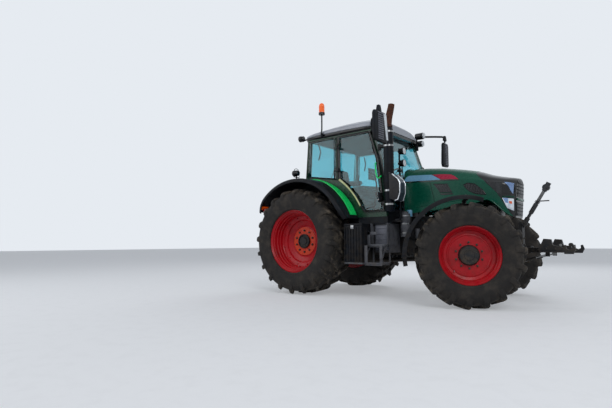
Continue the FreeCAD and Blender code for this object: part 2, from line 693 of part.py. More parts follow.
band = fender_out + 6
band_ends = (20.8, 93)
door_edge = size("door_edge_radius")
front_low, front_mid, front_top = (1665, floor_top), (1570, 2300), (1400, roof_low)
hinge_x = 706
hinge_y = cab_half + 16
hinge_levels = (2180, 2620)
quarter_panes = []
for side_name, side in SIDES:
    low_y, high_y = (frame_in, frame_out) if side > 0 else (-frame_out, -frame_in)
    body = new_body("cab_frame")
    corners = [arc_point(band, band_ends[0]), arc_point(band, band_ends[1]), (30, roof_low),
               front_top, front_mid, front_low]
    sketch = outline(body, "side", corners, {0: arc_height(band, band_ends[1] - band_ends[0])},
                     low_y)
    pad(body, sketch, high_y - low_y, reverse=True)
    pocket_low = low_y - 5
    window = outline(body, "side", [
        (650, 920 + 1130), (650, roof_low - 60), (95, roof_low - 60), (60, 2140)], None, pocket_low)
    pad(body, window, high_y - low_y + 10, "PartDesign::Pocket")
    door_arc = (28, 57.4)
    corners = [arc_point(door_edge - 10, door_arc[0]), arc_point(door_edge - 10, door_arc[1]),
               (730, roof_low - 60), (1370, roof_low - 60), (1508, 2300), (1598, 1440),
               (1240, 1440)]
    opening = outline(body, "side", corners,
                      {0: arc_height(door_edge - 10, door_arc[1] - door_arc[0])}, pocket_low)
    pad(body, opening, high_y - low_y + 10, "PartDesign::Pocket")
    pieces = [body]
    for level in hinge_levels:
        low_y, high_y = sorted((frame_out.value * side, (hinge_y.value + 14) * side))
        pieces.append(block("hinge_ear", (hinge_x - 16, low_y, level - 20),
                            (hinge_x + 14, high_y, level)))
        pieces.append(rod("hinge_pin", (hinge_x, hinge_y * side, level - 10),
                          (hinge_x, hinge_y * side, level + 46), 8))
    keep(fuse("cab_side", pieces), "cab_frame_" + side_name)

    # Fixed pane behind the door
    low_y, high_y = sorted((frame_out.value * side, (frame_out.value + 8) * side))
    quarter_panes.append(slab("pane", "side", [
        (668, 2025), (668, roof_low - 40), (75, roof_low - 40), (38, 2120)], low_y, high_y))

    # Door: a pane with a thin frame and two hinge barrels at its rear edge
    lip = 34
    door_arc = (27, 57.8)
    outer = [arc_point(door_edge, door_arc[0]), arc_point(door_edge, door_arc[1]),
             (722, roof_low - 30), (1392, roof_low - 30), (1545, 2290), (1640, 1412), (1262, 1412)]
    inner = [arc_point(door_edge + lip, 28.5), arc_point(door_edge + lip, 55.6),
             (722 + lip, roof_low - 30 - lip), (1392 - lip, roof_low - 30 - lip),
             (1545 - lip, 2285), (1640 - lip, 1412 + lip), (1280, 1412 + lip)]
    glass_in = frame_out + 6
    glass_out = glass_in + 8
    low_y, high_y = (glass_in, glass_out) if side > 0 else (-glass_out, -glass_in)
    pane = slab("door_pane", "side", outer, low_y, high_y,
                {0: arc_height(door_edge, door_arc[1] - door_arc[0])})
    keep(pane, "door_glass_" + side_name)
    low_y, high_y = (glass_out, glass_out + 12) if side > 0 else (-glass_out - 12, -glass_out)
    body = new_body("door_frame")
    sketch = outline(body, "side", outer, {0: arc_height(door_edge, door_arc[1] - door_arc[0])},
                     low_y)
    pad(body, sketch, 12, reverse=True)
    hole = outline(body, "side", inner, {0: arc_height(door_edge + lip, 55.6 - 28.5)}, low_y - 5)
    pad(body, hole, 22, "PartDesign::Pocket")
    pieces = [body]
    for level in hinge_levels:
        low_y, high_y = sorted(((glass_out.value + 12) * side, (hinge_y.value + 12) * side))
        leaf = block("leaf", (hinge_x, low_y, level + gap), (hinge_x + 44, high_y, level + 40))
        barrel = rod("barrel", (hinge_x, hinge_y * side, level + gap),
                     (hinge_x, hinge_y * side, level + 40), 15)
        bore = rod("barrel_bore", (hinge_x, hinge_y * side, level - 5),
                   (hinge_x, hinge_y * side, level + 50), 8.05)
        pieces.append(cut("hinge_leaf", fuse("leaf_barrel", [leaf, barrel]), bore))
    low_y, high_y = sorted(((glass_out.value + 12) * side, (glass_out.value + 60) * side))
    pieces.append(block("handle", (1570, low_y, 1560), (1592, high_y, 1720)))
    keep(fuse("door", pieces), "door_" + side_name)

keep(group("quarter_glass", quarter_panes), "quarter_glass")

# Windscreen and rear window with the cross members that hold them
screen_half = frame_in - 1
front_pane = slab("windscreen", "side", [
    (1640, floor_top + 130), (1652, floor_top + 130), (1560, 2300), (1398, roof_low),
    (1386, roof_low), (1548, 2300)], -screen_half, screen_half)
keep(front_pane, "windscreen")
keep(slab("rear_window", "side", [(14, 2075), (26, 2075), (60, roof_low), (48, roof_low)],
          -screen_half, screen_half), "rear_window")

roof_rings = []
# Columns: x, share of the cab's half width, height of the edge, height of the crown
for place, wide, edge, crown in ((-60, 0.9, 92, 140), (0, 0.95, 105, 175), (300, 1.0, 122, 220),
                                 (1000, 1.0, 145, 262), (1400, 0.95, 135, 240),
                                 (1480, 0.86, 105, 200)):
    side_y = (cab_half.value + 20) * wide
    low_z = roof_low.value
    rise = edge + (crown - edge) * 0.8
    roof_rings.append([Vector(place, across * side_y, low_z + up) for across, up in (
        (-1, 0), (1, 0), (1, edge - 30), (0.95, edge), (0.7, rise), (0, crown), (-0.7, rise),
        (-0.95, edge), (-1, edge - 30))])
roof = doc.addObject("Part::Feature", "roof")
roof.Shape = facet_solid(roof_rings)
keep(roof, "cab_roof")

# Driver's place
keep(fuse("seat", [
    slab("seat_base", "side", [
        (450, floor_top), (690, floor_top), (640, floor_top + 330), (500, floor_top + 330)],
        -150, 150),
    slab("seat_cushion", "side", [
        (330, floor_top + 330), (820, floor_top + 330), (850, floor_top + 370),
        (840, floor_top + 450), (790, floor_top + 468), (360, floor_top + 440)], -250, 250),
    slab("seat_back", "side", [
        (370, floor_top + 400), (250, floor_top + 390), (210, floor_top + 720),
        (175, floor_top + 1010), (225, floor_top + 1045), (285, floor_top + 1030),
        (310, floor_top + 740)], -240, 240),
]), "seat")
wheel_x, wheel_z, wheel_tilt = 1345, 2120, 38
tilt = math.radians(wheel_tilt)
column_ends = [(wheel_x + math.sin(tilt) * down, 0, wheel_z - math.cos(tilt) * down)
               for down in (6.3, 150)]
keep(fuse("console_column", [
    slab("console", "side", [
        (1280, floor_top), (1560, floor_top), (1540, 1950), (1440, 2050), (1330, 2010),
        (1360, 1700)], -150, 150),
    strut("column", column_ends[0], column_ends[1], 22),
]), "steering_console")
wheel_ring = put(lathe("wheel_ring", [
    (-6, 176), (-14, 184), (-14, 196), (-6, 205), (6, 205), (14, 196), (14, 184), (6, 176)]),
    0, 0, 0, (1, 0, 0), 90)
wheel_parts = [wheel_ring, rod("wheel_boss", (0, 0, -6), (0, 0, 6), 48)]
for angle in (0, 125, 235):
    wheel_parts.append(put(group("spoke", [block("spoke_bar", (40, -10, -5), (182, 10, 5))]),
                           0, 0, 0, (0, 0, 1), angle))
keep(fuse("wheel_fused", wheel_parts), "steering_wheel", rear_x + wheel_x, 0, wheel_z,
     (0, 1, 0), -wheel_tilt)


# Hood: a shell in two pieces, hinged at its rear edge
def hood_ring(place, low, crease, wide, shoulder, top, lean, inset):
    """A closed section of the hood, all of it drawn in by inset.

    The section's lower edge lies behind its top by lean.
    """
    wide = wide - inset
    corners = ((-wide, low), (wide, low), (wide + 4, crease), (wide * 0.8, shoulder - inset),
               (0, top - inset), (-wide * 0.8, shoulder - inset), (-wide - 4, crease))
    return [Vector(place - lean * (top - up) / (top - low), across, up) for across, up in corners]


# Columns: x, lower edge, crease, half width, shoulder, top in the middle, lean
HOOD_STATIONS = (
    (1765, 1385, 1935, 415, 2105, 2175, 0),
    (2190, 1418, 1920, 417, 2085, 2153, 0),
    (2600, 1450, 1900, 418, 2025, 2092, 0),
    (2970, 1508, 1842, 408, 1942, 2010, 0),
    (3140, 1535, 1800, 400, 1885, 1945, 0),
)
NOSE_STATIONS = (
    (3140, 1535, 1800, 400, 1885, 1945, 0),
    (3340, 1365, 1768, 372, 1838, 1893, 15),
    (3430, 1298, 1752, 315, 1822, 1876, 30),
    (3492, 1262, 1742, 205, 1810, 1862, 45),
)
wall = size("hood_wall").value


def hood_shell(stations, front):
    """An outer skin less an inner one that is open below and behind, and at the front or not."""
    outer = facet_solid([hood_ring(*row, 0) for row in stations])
    rows = [list(row) for row in stations]
    for row in rows:
        row[1] -= 40
    rows[0][0] -= 1
    rows[-1][0] += 1 if front else -wall
    return outer.cut(facet_solid([hood_ring(*row, wall) for row in rows]))


hood_pin = (1800, 2058)
shell = hood_shell(HOOD_STATIONS, True)
for side in (1, -1):
    ear = Part.makeBox(44, 14, 107, Vector(hood_pin[0] - 22, 120 * side - 7, hood_pin[1] - 22))
    shell = shell.fuse(ear)
    pin_bore = Part.makeCylinder(10.05, 40, Vector(hood_pin[0], 120 * side - 20, hood_pin[1]),
                                 Vector(0, 1, 0))
    shell = shell.cut(pin_bore)
hood = doc.addObject("Part::Feature", "hood")
hood.Shape = shell
keep(hood, "hood")
nose = doc.addObject("Part::Feature", "nose")
nose.Shape = hood_shell(NOSE_STATIONS, False)
keep(nose, "hood_nose")
# Frame behind the hood that carries its hinge pins
hinge = [block("hinge_cross", (1690, -300, 1960), (1725, 300, 2000))]
for side in (1, -1):
    low_y, high_y = sorted((88 * side, 102 * side))
    # The plate reaches the pin from below, under the way of the opening hood's rear edge
    hinge.append(slab("hinge_plate", "side", [
        (1690, 1960), (1820, 1960), (1820, 2076), (1782, 2076), (1775, 2010), (1690, 2000)],
        low_y, high_y))
    hinge.append(rod("hood_pin", (hood_pin[0], 95 * side, hood_pin[1]),
                     (hood_pin[0], 138 * side, hood_pin[1]), 10))
    low_y, high_y = sorted((270 * side, 300 * side))
    hinge.append(block("hinge_leg", (1690, low_y, floor_top - 100), (1725, high_y, 2000)))
    hinge.append(block("hinge_foot", (1680, low_y, floor_top - 100),
                       (1690, high_y, floor_top - 40)))
keep(fuse("hood_mount", hinge), "hood_mount")

# Exhaust stack on the right front post, with its curved tip and heat shield
stack_x, stack_y, stack_radius = 1755, -890, 80


def post_foot(low_z, high_z, reach_x, side, near=795, far=825):
    """A plate that stands on the sloping front edge of a front post."""
    slope = (front_mid[0] - front_top[0]) / (front_top[1] - front_mid[1])
    back_low = front_mid[0] - (low_z - front_mid[1]) * slope
    back_high = front_mid[0] - (high_z - front_mid[1]) * slope
    low_y, high_y = sorted((near * side, far * side))
    return slab("post_foot", "side", [(back_low, low_z), (reach_x, low_z), (reach_x, high_z),
                                      (back_high, high_z)], low_y, high_y)


keep(fuse("exhaust_stack", [
    rod("stack", (stack_x, stack_y, 1390), (stack_x, stack_y, 2760), stack_radius),
    rod("stack_neck", (stack_x, stack_y, 2750), (stack_x, stack_y, 2930), 64),
    strut("stack_tip", (stack_x - 5, stack_y, 2905), (stack_x + 55, stack_y - 10, 3140), 64),
    post_foot(2480, 2540, stack_x, -1),
    block("stack_foot", (1680, -830, floor_bottom + 10), (stack_x, -800, 1420)),
]), "exhaust_stack")
shield = block("shield", (1800, -985, 1560), (1990, -800, 1890))
shield_bore = rod("shield_bore", (stack_x, stack_y, 1500), (stack_x, stack_y, 1950),
                  stack_radius + 0.4)
keep(cut("exhaust_shield", shield, shield_bore), "exhaust_shield")

# Mirrors on their arms, from the tops of the front posts
for side_name, side in SIDES:
    low_y, high_y = sorted((1178 * side, 1430 * side))
    keep(fuse("mirror", [
        post_foot(2700, 2770, 1500, side),
        strut("mirror_arm", (1485, 812 * side, 2735), (1825, 1300 * side, 3010), 15),
        rod("mirror_drop", (1825, 1300 * side, 2925), (1825, 1300 * side, 3035), 20),
        block("mirror_head", (1785, low_y, 2440), (1850, high_y, 2935)),
    ]), "mirror_" + side_name)

# Beacon on a stalk, work lamps
roof_side = size("cab_half") + 20
keep(fuse("beacon_stalk", [
    block("stalk_foot", (375, -roof_side - 34, 2830), (425, -roof_side, 2900)),
    rod("stalk", (400, -roof_side - 18, 2890), (400, -roof_side - 18, 3245), 14),
    rod("beacon_base", (400, -roof_side - 18, 3240), (400, -roof_side - 18, 3285), 58),
]), "beacon_stalk")
keep(lathe("beacon", [(0, 0), (0, 52), (120, 50), (160, 34), (178, 30), (178, 0)]), "beacon",
     rear_x + 400, -roof_side - 18, 3285, (1, 0, 0), 90)
lamps = []
for side in (1, -1):
    low_y, high_y = sorted((700 * side, 724 * side))
    lamps.append(fuse("rear_lamp", [
        block("lamp_arm", (-180, low_y, 2878), (-60, high_y, 2906)),
        rod("lamp_body", (-270, 712 * side, 2922), (-170, 712 * side, 2922), 58)]))
rail_y = -650
lamps.append(fuse("cowl_lamps", [
    block("rail_foot", (1680, rail_y - 20, 1240), (1840, rail_y + 20, 1275)),
    rod("rail", (1820, rail_y, 1270), (1820, rail_y, 2450), 14),
    rod("lamp_low", (1815, rail_y, 2200), (1915, rail_y, 2200), 60),
    rod("lamp_high", (1815, rail_y, 2400), (1915, rail_y, 2400), 60),
]))
keep(group("work_lamps", lamps), "work_lamps")

# Steps, boxes and tanks below the cab
for side_name, side in SIDES:
    pieces = []
    for x in (1380, 1680):
        low_y, high_y = sorted((frame_out.value * side - 30 * side, 1060 * side))
        corners = [(frame_out.value * side, 560), (1060 * side, 560), (1060 * side, 640),
                   (frame_out.value * side, floor_bottom), ((frame_out.value - 50) * side,
                                                           floor_bottom),
                   ((frame_out.value - 50) * side, 560)]
        pieces.append(slab("step_side", "front", corners, x, x + 12))
    for level, far in ((560, 1060), (850, 960)):
        low_y, high_y = sorted((frame_out.value * side - 50 * side, far * side))
        pieces.append(block("tread", (1380, low_y, level), (1692, high_y, level + 28)))
    keep(fuse("steps", pieces), "steps_" + side_name)
box_front, box_outer = 1350, -1090
box_pieces = [block("box_body", (1000, box_outer, 560), (box_front, -700, floor_bottom))]
for rib_x in range(1008, box_front, 54):
    box_pieces.append(block("box_rib", (rib_x, box_outer - 12, 600), (rib_x + 18, box_outer, 1180)))
keep(fuse("tool_box_ribbed", box_pieces), "tool_box")
filter_x, filter_y = 1845, -540
keep(group("side_tanks", [
    block("tank_body", (1400, -770, 740), (1670, -400, floor_bottom)),
    fuse("filter", [
        rod("filter_case", (filter_x, filter_y, 1000), (filter_x, filter_y, 1380), 80),
        rod("filter_cap", (filter_x, filter_y, 1375), (filter_x, filter_y, 1410), 55),
        block("filter_arm", (1680, filter_y - 30, floor_bottom + 25),
              (filter_x - 60, filter_y + 30, floor_bottom + 80)),
    ]),
]), "side_tank")
keep(block("fuel_tank", (1000, 400, 600), (1360, 900, floor_bottom)), "fuel_tank")

# Front linkage
shaft_x, shaft_z = 3530, 790
keep(fuse("linkage_frame", [
    block("frame_block", (3380, -185, 600), (3470, 185, 1020)),
    block("tower", (3440, -70, 1000), (3500, 70, 1132)),
    slab("link_ear", "side", [(3440, 1100), (3500, 1100), (3534, 1164), (3537, 1199),
                              (3440, 1199)], -16, 16),
    rod("link_pin", (3520, -44, 1182), (3520, 44, 1182), 12),
    block("shaft_plate_right", (3460, -160, 740), (3560, -130, 840)),
    block("shaft_plate_left", (3460, 130, 740), (3560, 160, 840)),
    rod("shaft", (shaft_x, -300, shaft_z), (shaft_x, 300, shaft_z), 30),
    block("ram_ear_left", (3460, 185, 590), (3520, 196, 660)),
    block("ram_ear_right", (3460, -196, 590), (3520, -185, 660)),
    block("ram_web_left", (3380, 165, 590), (3470, 196, 660)),
    block("ram_web_right", (3380, -196, 590), (3470, -165, 660)),
    rod("ram_pin", (3490, -240, 620), (3490, 240, 620), 14),
]), "linkage_frame")
arm_pieces = []
for side in (1, -1):
    corners = [(3500, 235 * side), (3500, 292 * side), (3620, 300 * side), (3780, 412 * side),
               (4085, 412 * side), (4085, 368 * side), (3795, 368 * side), (3650, 240 * side)]
    plate = slab("arm_plate", "plan", corners, shaft_z - 32, shaft_z + 32)
    low_y, high_y = sorted((235 * side, 292 * side))
    eye = rod("arm_eye", (shaft_x, low_y, shaft_z), (shaft_x, high_y, shaft_z), 52)
    low_y, high_y = sorted((368 * side, 412 * side))
    hook = slab("hook", "side", [(4080, 740), (4185, 740), (4215, 800), (4195, 862), (4168, 852),
                                 (4172, 815), (4140, 792), (4105, 810), (4100, 862), (4070, 850)],
                low_y, high_y)
    low_y, high_y = sorted((240 * side, 256 * side))
    lug = block("ram_lug", (3825, low_y, 700), (3880, high_y, 790))
    low_y, high_y = sorted((356 * side, 424 * side))
    head = slab("arm_head", "side", [(3760, 790), (4060, 790), (4040, 838), (3950, 858),
                                     (3930, 938), (3842, 946), (3810, 880)], low_y, high_y)
    low_y, high_y = sorted((362 * side, 418 * side))
    knob = rod("arm_knob", (4046, low_y, 858), (4046, high_y, 858), 30)
    arm_pieces += [plate, eye, hook, lug, head, knob]
arm_pieces.append(rod("arm_tie", (3852, -385, 790), (3852, 385, 790), 22))
arms = fuse("arm_body", arm_pieces)
arms_bore = rod("arms_bore", (shaft_x, -400, shaft_z), (shaft_x, 400, shaft_z), 30.05)
keep(cut("front_lift_arms", arms, arms_bore), "front_lift_arms")

ram_low, ram_high = (3490, 620), (3850, 730)
ram_run = math.dist(ram_low, ram_high)
ram_way = ((ram_high[0] - ram_low[0]) / ram_run, (ram_high[1] - ram_low[1]) / ram_run)


def ram_point(distance, y):
    """A point on a front ram's axis, by its distance from the lower pin."""
    return (ram_low[0] + ram_way[0] * distance, y, ram_low[1] + ram_way[1] * distance)


barrels, rods = [], []
for side in (1, -1):
    y = 218 * side
    tube = strut("ram_tube", ram_point(18, y), ram_point(215, y), 17)
    low_y, high_y = sorted((202 * side, 234 * side))
    eye = rod("ram_eye", (ram_low[0], low_y, ram_low[1]), (ram_low[0], high_y, ram_low[1]), 26)
    bore = strut("ram_bore", ram_point(40, y), ram_point(230, y), 11.3)
    pin_bore = rod("ram_pin_bore", (ram_low[0], 190 * side, ram_low[1]),
                   (ram_low[0], 260 * side, ram_low[1]), 14.05)
    barrels.append(cut("ram_barrel", cut("ram_shell", fuse("ram_outer", [tube, eye]), bore),
                       pin_bore))
    bar = strut("ram_rod", ram_point(190, y), ram_point(ram_run, y), 11)
    low_y, high_y = sorted((200 * side, 234 * side))
    top_eye = rod("ram_top", (ram_high[0], low_y, ram_high[1]), (ram_high[0], high_y, ram_high[1]),
                  26)
    rods.append(fuse("ram_bar", [bar, top_eye]))
keep(group("front_ram_barrels", barrels), "front_ram_barrels")
keep(group("front_ram_rods", rods), "front_ram_rods")
link_foot, link_top = (3520, 1182), (3832, 1696)
link_run = math.dist(link_foot, link_top)
link_way = ((link_top[0] - link_foot[0]) / link_run, (link_top[1] - link_foot[1]) / link_run)


def link_point(distance):
    """A point on the front top link's axis, by its distance from the foot."""
    return (link_foot[0] + link_way[0] * distance, 0, link_foot[1] + link_way[1] * distance)


handle_x, _, handle_z = link_point(link_run * 0.62)
pieces = [strut("link_bar", link_point(60), link_point(link_run), 22),
          strut("link_block", link_point(32), link_point(95), 34),
          strut("link_sleeve", link_point(170), link_point(330), 32),
          strut("link_head", link_point(link_run - 60), link_point(link_run + 78), 34),
          rod("link_ball", (link_top[0], -34, link_top[1]), (link_top[0], 34, link_top[1]), 48),
          block("link_handle", (handle_x, -8, handle_z - 8), (handle_x + 150, 8, handle_z + 8))]
for side in (1, -1):
    low_y, high_y = sorted((17 * side, 34 * side))
    pieces.append(rod("link_fork", (link_foot[0], low_y, link_foot[1]),
                      (link_foot[0], high_y, link_foot[1]), 38))
keep(cut("top_link", fuse("top_link_body", pieces),
         rod("link_fork_bore", (link_foot[0], -40, link_foot[1]), (link_foot[0], 40, link_foot[1]),
             12.05)), "top_link_front")

# Rear linkage
pivot_x, pivot_z = -200, 670
hitch = fuse("hitch_body", [
    block("hitch_block", (-560, -150, 450), (-380, 150, 850)),
    block("drawbar", (-900, -45, 470), (-560, 45, 520)),
    block("top_ear", (-450, -20, 960), (-380, 20, 1040)),
    rod("top_link_pin", (-420, 0, 1000), (-420, 76, 1000), 12),
])
keep(cut("drawbar_hitch", hitch, rod("drawbar_hole", (-850, 0, 460), (-850, 0, 530), 16)),
     "drawbar_hitch")
keep(rod("pto_shaft", (-660, 0, 720), (-560, 0, 720), 17.5), "pto_shaft")
link_pieces = []
for side in (1, -1):
    low_y, high_y = sorted((262 * side, 300 * side))
    bar = slab("lower_link", "side", [
        (pivot_x + 50, pivot_z - 40), (pivot_x + 50, pivot_z + 40), (-1180, pivot_z + 38),
        (-1240, pivot_z + 70), (-1265, pivot_z + 60), (-1240, pivot_z + 20), (-1275, pivot_z),
        (-1290, pivot_z + 55), (-1315, pivot_z + 50), (-1310, pivot_z - 30),
        (-1270, pivot_z - 55)], low_y, high_y)
    pin_bore = rod("link_bore", (pivot_x, 250 * side, pivot_z), (pivot_x, 310 * side, pivot_z),
                   18.05)
    lift_pin = rod("lift_pin", (-690, 290 * side, pivot_z), (-690, 340 * side, pivot_z), 14)
    link_pieces.append(fuse("link_with_pin", [cut("link_bar", bar, pin_bore), lift_pin]))
keep(group("lower_links", link_pieces), "lower_links")

lift_x, lift_z = -300, top + 40
arm_end = (-620, lift_z + 10)
lift_arms = [rod("lift_shaft", (lift_x, -300, lift_z), (lift_x, 300, lift_z), 28)]
for side in (1, -1):
    low_y, high_y = sorted((262 * side, 298 * side))
    lift_arms.append(slab("lift_arm", "side", [
        (lift_x + 45, lift_z - 45), (lift_x + 45, lift_z + 45), (arm_end[0] - 40, arm_end[1] + 28),
        (arm_end[0] - 40, arm_end[1] - 28)], low_y, high_y))
keep(fuse("lift_arms", lift_arms), "lift_arms")
lift_rods = []
for side in (1, -1):
    low_y, high_y = sorted((306 * side, 334 * side))
    bar = slab("lift_rod", "side", [
        (-715, pivot_z - 25), (-665, pivot_z - 25), (arm_end[0] + 25, arm_end[1] + 25),
        (arm_end[0] - 25, arm_end[1] + 25)], low_y, high_y)
    lift_rods.append(cut("lift_rod_eye", bar,
                         rod("rod_bore", (-690, 300 * side, pivot_z), (-690, 350 * side, pivot_z),
                             14.05)))
keep(group("lift_rods", lift_rods), "lift_rods")
rear_link = fuse("rear_link", [
    rod("rear_link_bar", (-1080, 48, 1000), (-420, 48, 1000), 20),
    rod("rear_link_eye", (-420, gap + 20, 1000), (-420, 74, 1000), 34),
    rod("rear_link_ball", (-1080, 22, 1000), (-1080, 74, 1000), 38),
])
keep(cut("rear_link_bored", rear_link, rod("rear_link_bore", (-420, 10, 1000), (-420, 80, 1000),
                                           12.05)), "top_link_rear")

doc.recompute()
faults = [thing.Name for thing in doc.Objects
          if "Invalid" in thing.State or "Error" in thing.State]
if faults:
    raise SystemExit(f"objects failed: {faults}")
os.makedirs("parts", exist_ok=True)
for node in NODES:
    shape = node.Shape
    if shape.isNull() or not shape.isValid() or not shape.Solids:
        raise SystemExit(f"{node.Label} is not a valid solid")
    shape.exportStep(f"parts/{node.Label}.step")
    print(node.Label, len(shape.Solids), round(shape.Volume / 1e9, 4))
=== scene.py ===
"""Looks of a farm tractor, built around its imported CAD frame.

Each class makes one sub-assembly. Its pieces are measured in metres from the middle of the
rear axle's line on the ground, +X forward, +Y to the driver's left and +Z up, and Shape.finish
moves them into the frame.
"""

import logging
import math
import random
from dataclasses import dataclass
from enum import Enum
from typing import Iterable, Sequence

import bmesh
import bpy
from mathutils import Matrix, Vector


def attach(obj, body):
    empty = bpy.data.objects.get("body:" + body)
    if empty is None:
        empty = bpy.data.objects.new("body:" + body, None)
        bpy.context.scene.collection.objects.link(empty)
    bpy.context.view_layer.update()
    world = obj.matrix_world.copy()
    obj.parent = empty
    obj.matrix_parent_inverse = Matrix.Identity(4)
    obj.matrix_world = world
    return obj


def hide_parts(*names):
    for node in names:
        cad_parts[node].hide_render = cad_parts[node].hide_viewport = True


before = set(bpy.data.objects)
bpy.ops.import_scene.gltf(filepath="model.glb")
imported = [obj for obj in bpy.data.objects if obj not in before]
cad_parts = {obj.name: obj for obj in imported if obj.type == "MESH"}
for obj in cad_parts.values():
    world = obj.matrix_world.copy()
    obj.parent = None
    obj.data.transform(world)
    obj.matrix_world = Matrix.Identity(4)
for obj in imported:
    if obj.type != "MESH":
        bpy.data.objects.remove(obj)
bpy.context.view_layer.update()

LOG = logging.getLogger("tractor")
REAR_AXLE_X = -1.45
WHEELBASE = 2.9
STEER = math.radians(25)
Point = Sequence[float]


class Side(Enum):
    """The two sides of the tractor, by the sign of Y."""

    LEFT = 1
    RIGHT = -1

    @property
    def word(self) -> str:
        """The side's name as it stands in the names of pieces and bodies."""
        return self.name.lower()


class Axis(Enum):
    """The plane in which a plate's outline is drawn."""

    SIDE = "side"
    FRONT = "front"
    PLAN = "plan"


# Finishes


def linear(colour: str) -> tuple[float, float, float, float]:
    """Turns a colour as it looks on a screen into the shader's linear one.

    Args:
        colour: sRGB hex value, such as "#8a1016".

    Returns:
        Red, green, blue and an alpha of 1.
    """
    parts = [int(colour[start:start + 2], 16) / 255 for start in (1, 3, 5)]
    bright = [c / 12.92 if c <= 0.04045 else ((c + 0.055) / 1.055) ** 2.4 for c in parts]
    return (*bright, 1.0)


def node(tree: bpy.types.NodeTree, kind: str, settings: dict | None = None,
         inputs: dict | None = None) -> bpy.types.Node:
    """Adds one node with its settings and links.

    Args:
        tree: the material's node tree.
        kind: the node's type without the ShaderNode in front.
        settings: the node's own properties.
        inputs: values or output sockets, by input name or number.

    Returns:
        The new node.
    """
    made = tree.nodes.new("ShaderNode" + kind)
    for key, value in (settings or {}).items():
        setattr(made, key, value)
    for key, value in (inputs or {}).items():
        if isinstance(value, bpy.types.NodeSocket):
            tree.links.new(value, made.inputs[key])
        else:
            made.inputs[key].default_value = value
    return made


@dataclass(frozen=True)
class Finish:
    """A real finish: its colours, gloss and the patterns on its surface, in millimetres."""

    name: str
    colour: str
    roughness: float = 0.5
    metallic: float = 0.0
    second: str = ""
    patch_mm: float = 180.0
    patch_from: float = 0.45
    patch_to: float = 0.7
    grain_mm: float = 2.0
    grain_height_mm: float = 0.0
    coat: float = 0.0
    mud: float = 0.0
    mud_top: float = 1.3
    glow: float = 0.0
    gloss: float = 0.5

    def material(self) -> bpy.types.Material:
        """The finish as a material, made once."""
        known = bpy.data.materials.get(self.name)
        if known:
            return known
        made = bpy.data.materials.new(self.name)
        made.use_nodes = True
        tree = made.node_tree
        tree.nodes.clear()
        shader = node(tree, "BsdfPrincipled", None, {
            "Roughness": self.roughness, "Metallic": self.metallic,
            "Coat Weight": self.coat, "Coat Roughness": 0.08,
            "Specular IOR Level": self.gloss})
        node(tree, "OutputMaterial", None, {"Surface": shader.outputs[0]})
        self.dress(tree, shader)
        return made

    def noise(self, tree: bpy.types.NodeTree, size_mm: float, low: float, high: float,
              detail: float = 4.0) -> bpy.types.NodeSocket:
        """Cloudy patches of a real size on Object coordinates.

        Args:
            tree: the material's node tree.
            size_mm: width of a patch.
            low: noise value below which there is none.
            high: noise value above which it is full.
            detail: octaves of the noise.

        Returns:
            A socket that goes from 0 to 1.
        """
        place = node(tree, "TexCoord")
        cloud = node(tree, "TexNoise", None, {
            "Vector": place.outputs["Object"], "Scale": 1000 / size_mm, "Detail": detail,
            "Roughness": 0.6})
        ramp = node(tree, "MapRange", {"interpolation_type": "SMOOTHSTEP"}, {
            "Value": cloud.outputs["Fac"], "From Min": low, "From Max": high})
        return ramp.outputs["Result"]

    def base(self, tree: bpy.types.NodeTree) -> bpy.types.NodeSocket:
        """The colour with its patches of the second colour."""
        patches = self.noise(tree, self.patch_mm, self.patch_from, self.patch_to)
        mixed = node(tree, "Mix", {"data_type": "RGBA"}, {
            "Factor": patches, 6: linear(self.colour), 7: linear(self.second or self.colour)})
        return mixed.outputs[2]

    def muddied(self, tree: bpy.types.NodeTree, colour: bpy.types.NodeSocket,
                ) -> tuple[bpy.types.NodeSocket, bpy.types.NodeSocket]:
        """Dried mud that thins out with the height above the ground.

        Args:
            tree: the material's node tree.
            colour: the colour under the mud.

        Returns:
            The colour with the mud, and the mud's share.
        """
        place = node(tree, "TexCoord")
        height = node(tree, "SeparateXYZ", None, {0: place.outputs["Object"]})
        low = node(tree, "MapRange", None, {
            "Value": height.outputs["Z"], "From Min": self.mud_top, "From Max": 0.1,
            "To Min": 0.12, "To Max": 1.0})
        splash = self.noise(tree, 70, 0.36, 0.66, 8.0)
        share = node(tree, "Math", {"operation": "MULTIPLY"}, {
            0: low.outputs["Result"], 1: splash})
        strength = node(tree, "Math", {"operation": "MULTIPLY"}, {
            0: share.outputs[0], 1: self.mud})
        mixed = node(tree, "Mix", {"data_type": "RGBA"}, {
            "Factor": strength.outputs[0], 6: colour, 7: linear("#6f5f4b")})
        return mixed.outputs[2], strength.outputs[0]

    def dress(self, tree: bpy.types.NodeTree, shader: bpy.types.Node) -> None:
        """Links the patterns into the shader.

        Args:
            tree: the material's node tree.
            shader: its Principled BSDF.
        """
        colour = self.base(tree)
        worn = self.noise(tree, 45, 0.3, 0.8, 6.0)
        rough = node(tree, "MapRange", None, {
            "Value": worn, "To Min": max(self.roughness - 0.08, 0.03),
            "To Max": min(self.roughness + 0.1, 1.0)})
        roughness = rough.outputs["Result"]
        if self.mud:
            colour, share = self.muddied(tree, colour)
            dull = node(tree, "Mix", {"data_type": "FLOAT"}, {
                "Factor": share, 2: roughness, 3: 0.92})
            roughness = dull.outputs[0]
        tree.links.new(colour, shader.inputs["Base Color"])
        tree.links.new(roughness, shader.inputs["Roughness"])
        if self.glow:
            shader.inputs["Emission Color"].default_value = linear(self.colour)
            shader.inputs["Emission Strength"].default_value = self.glow
        if self.grain_height_mm:
            grain = self.noise(tree, self.grain_mm, 0.0, 1.0, 3.0)
            bump = node(tree, "Bump", None, {
                "Height": grain, "Distance": self.grain_height_mm / 1000, "Strength": 1.0})
            tree.links.new(bump.outputs[0], shader.inputs["Normal"])


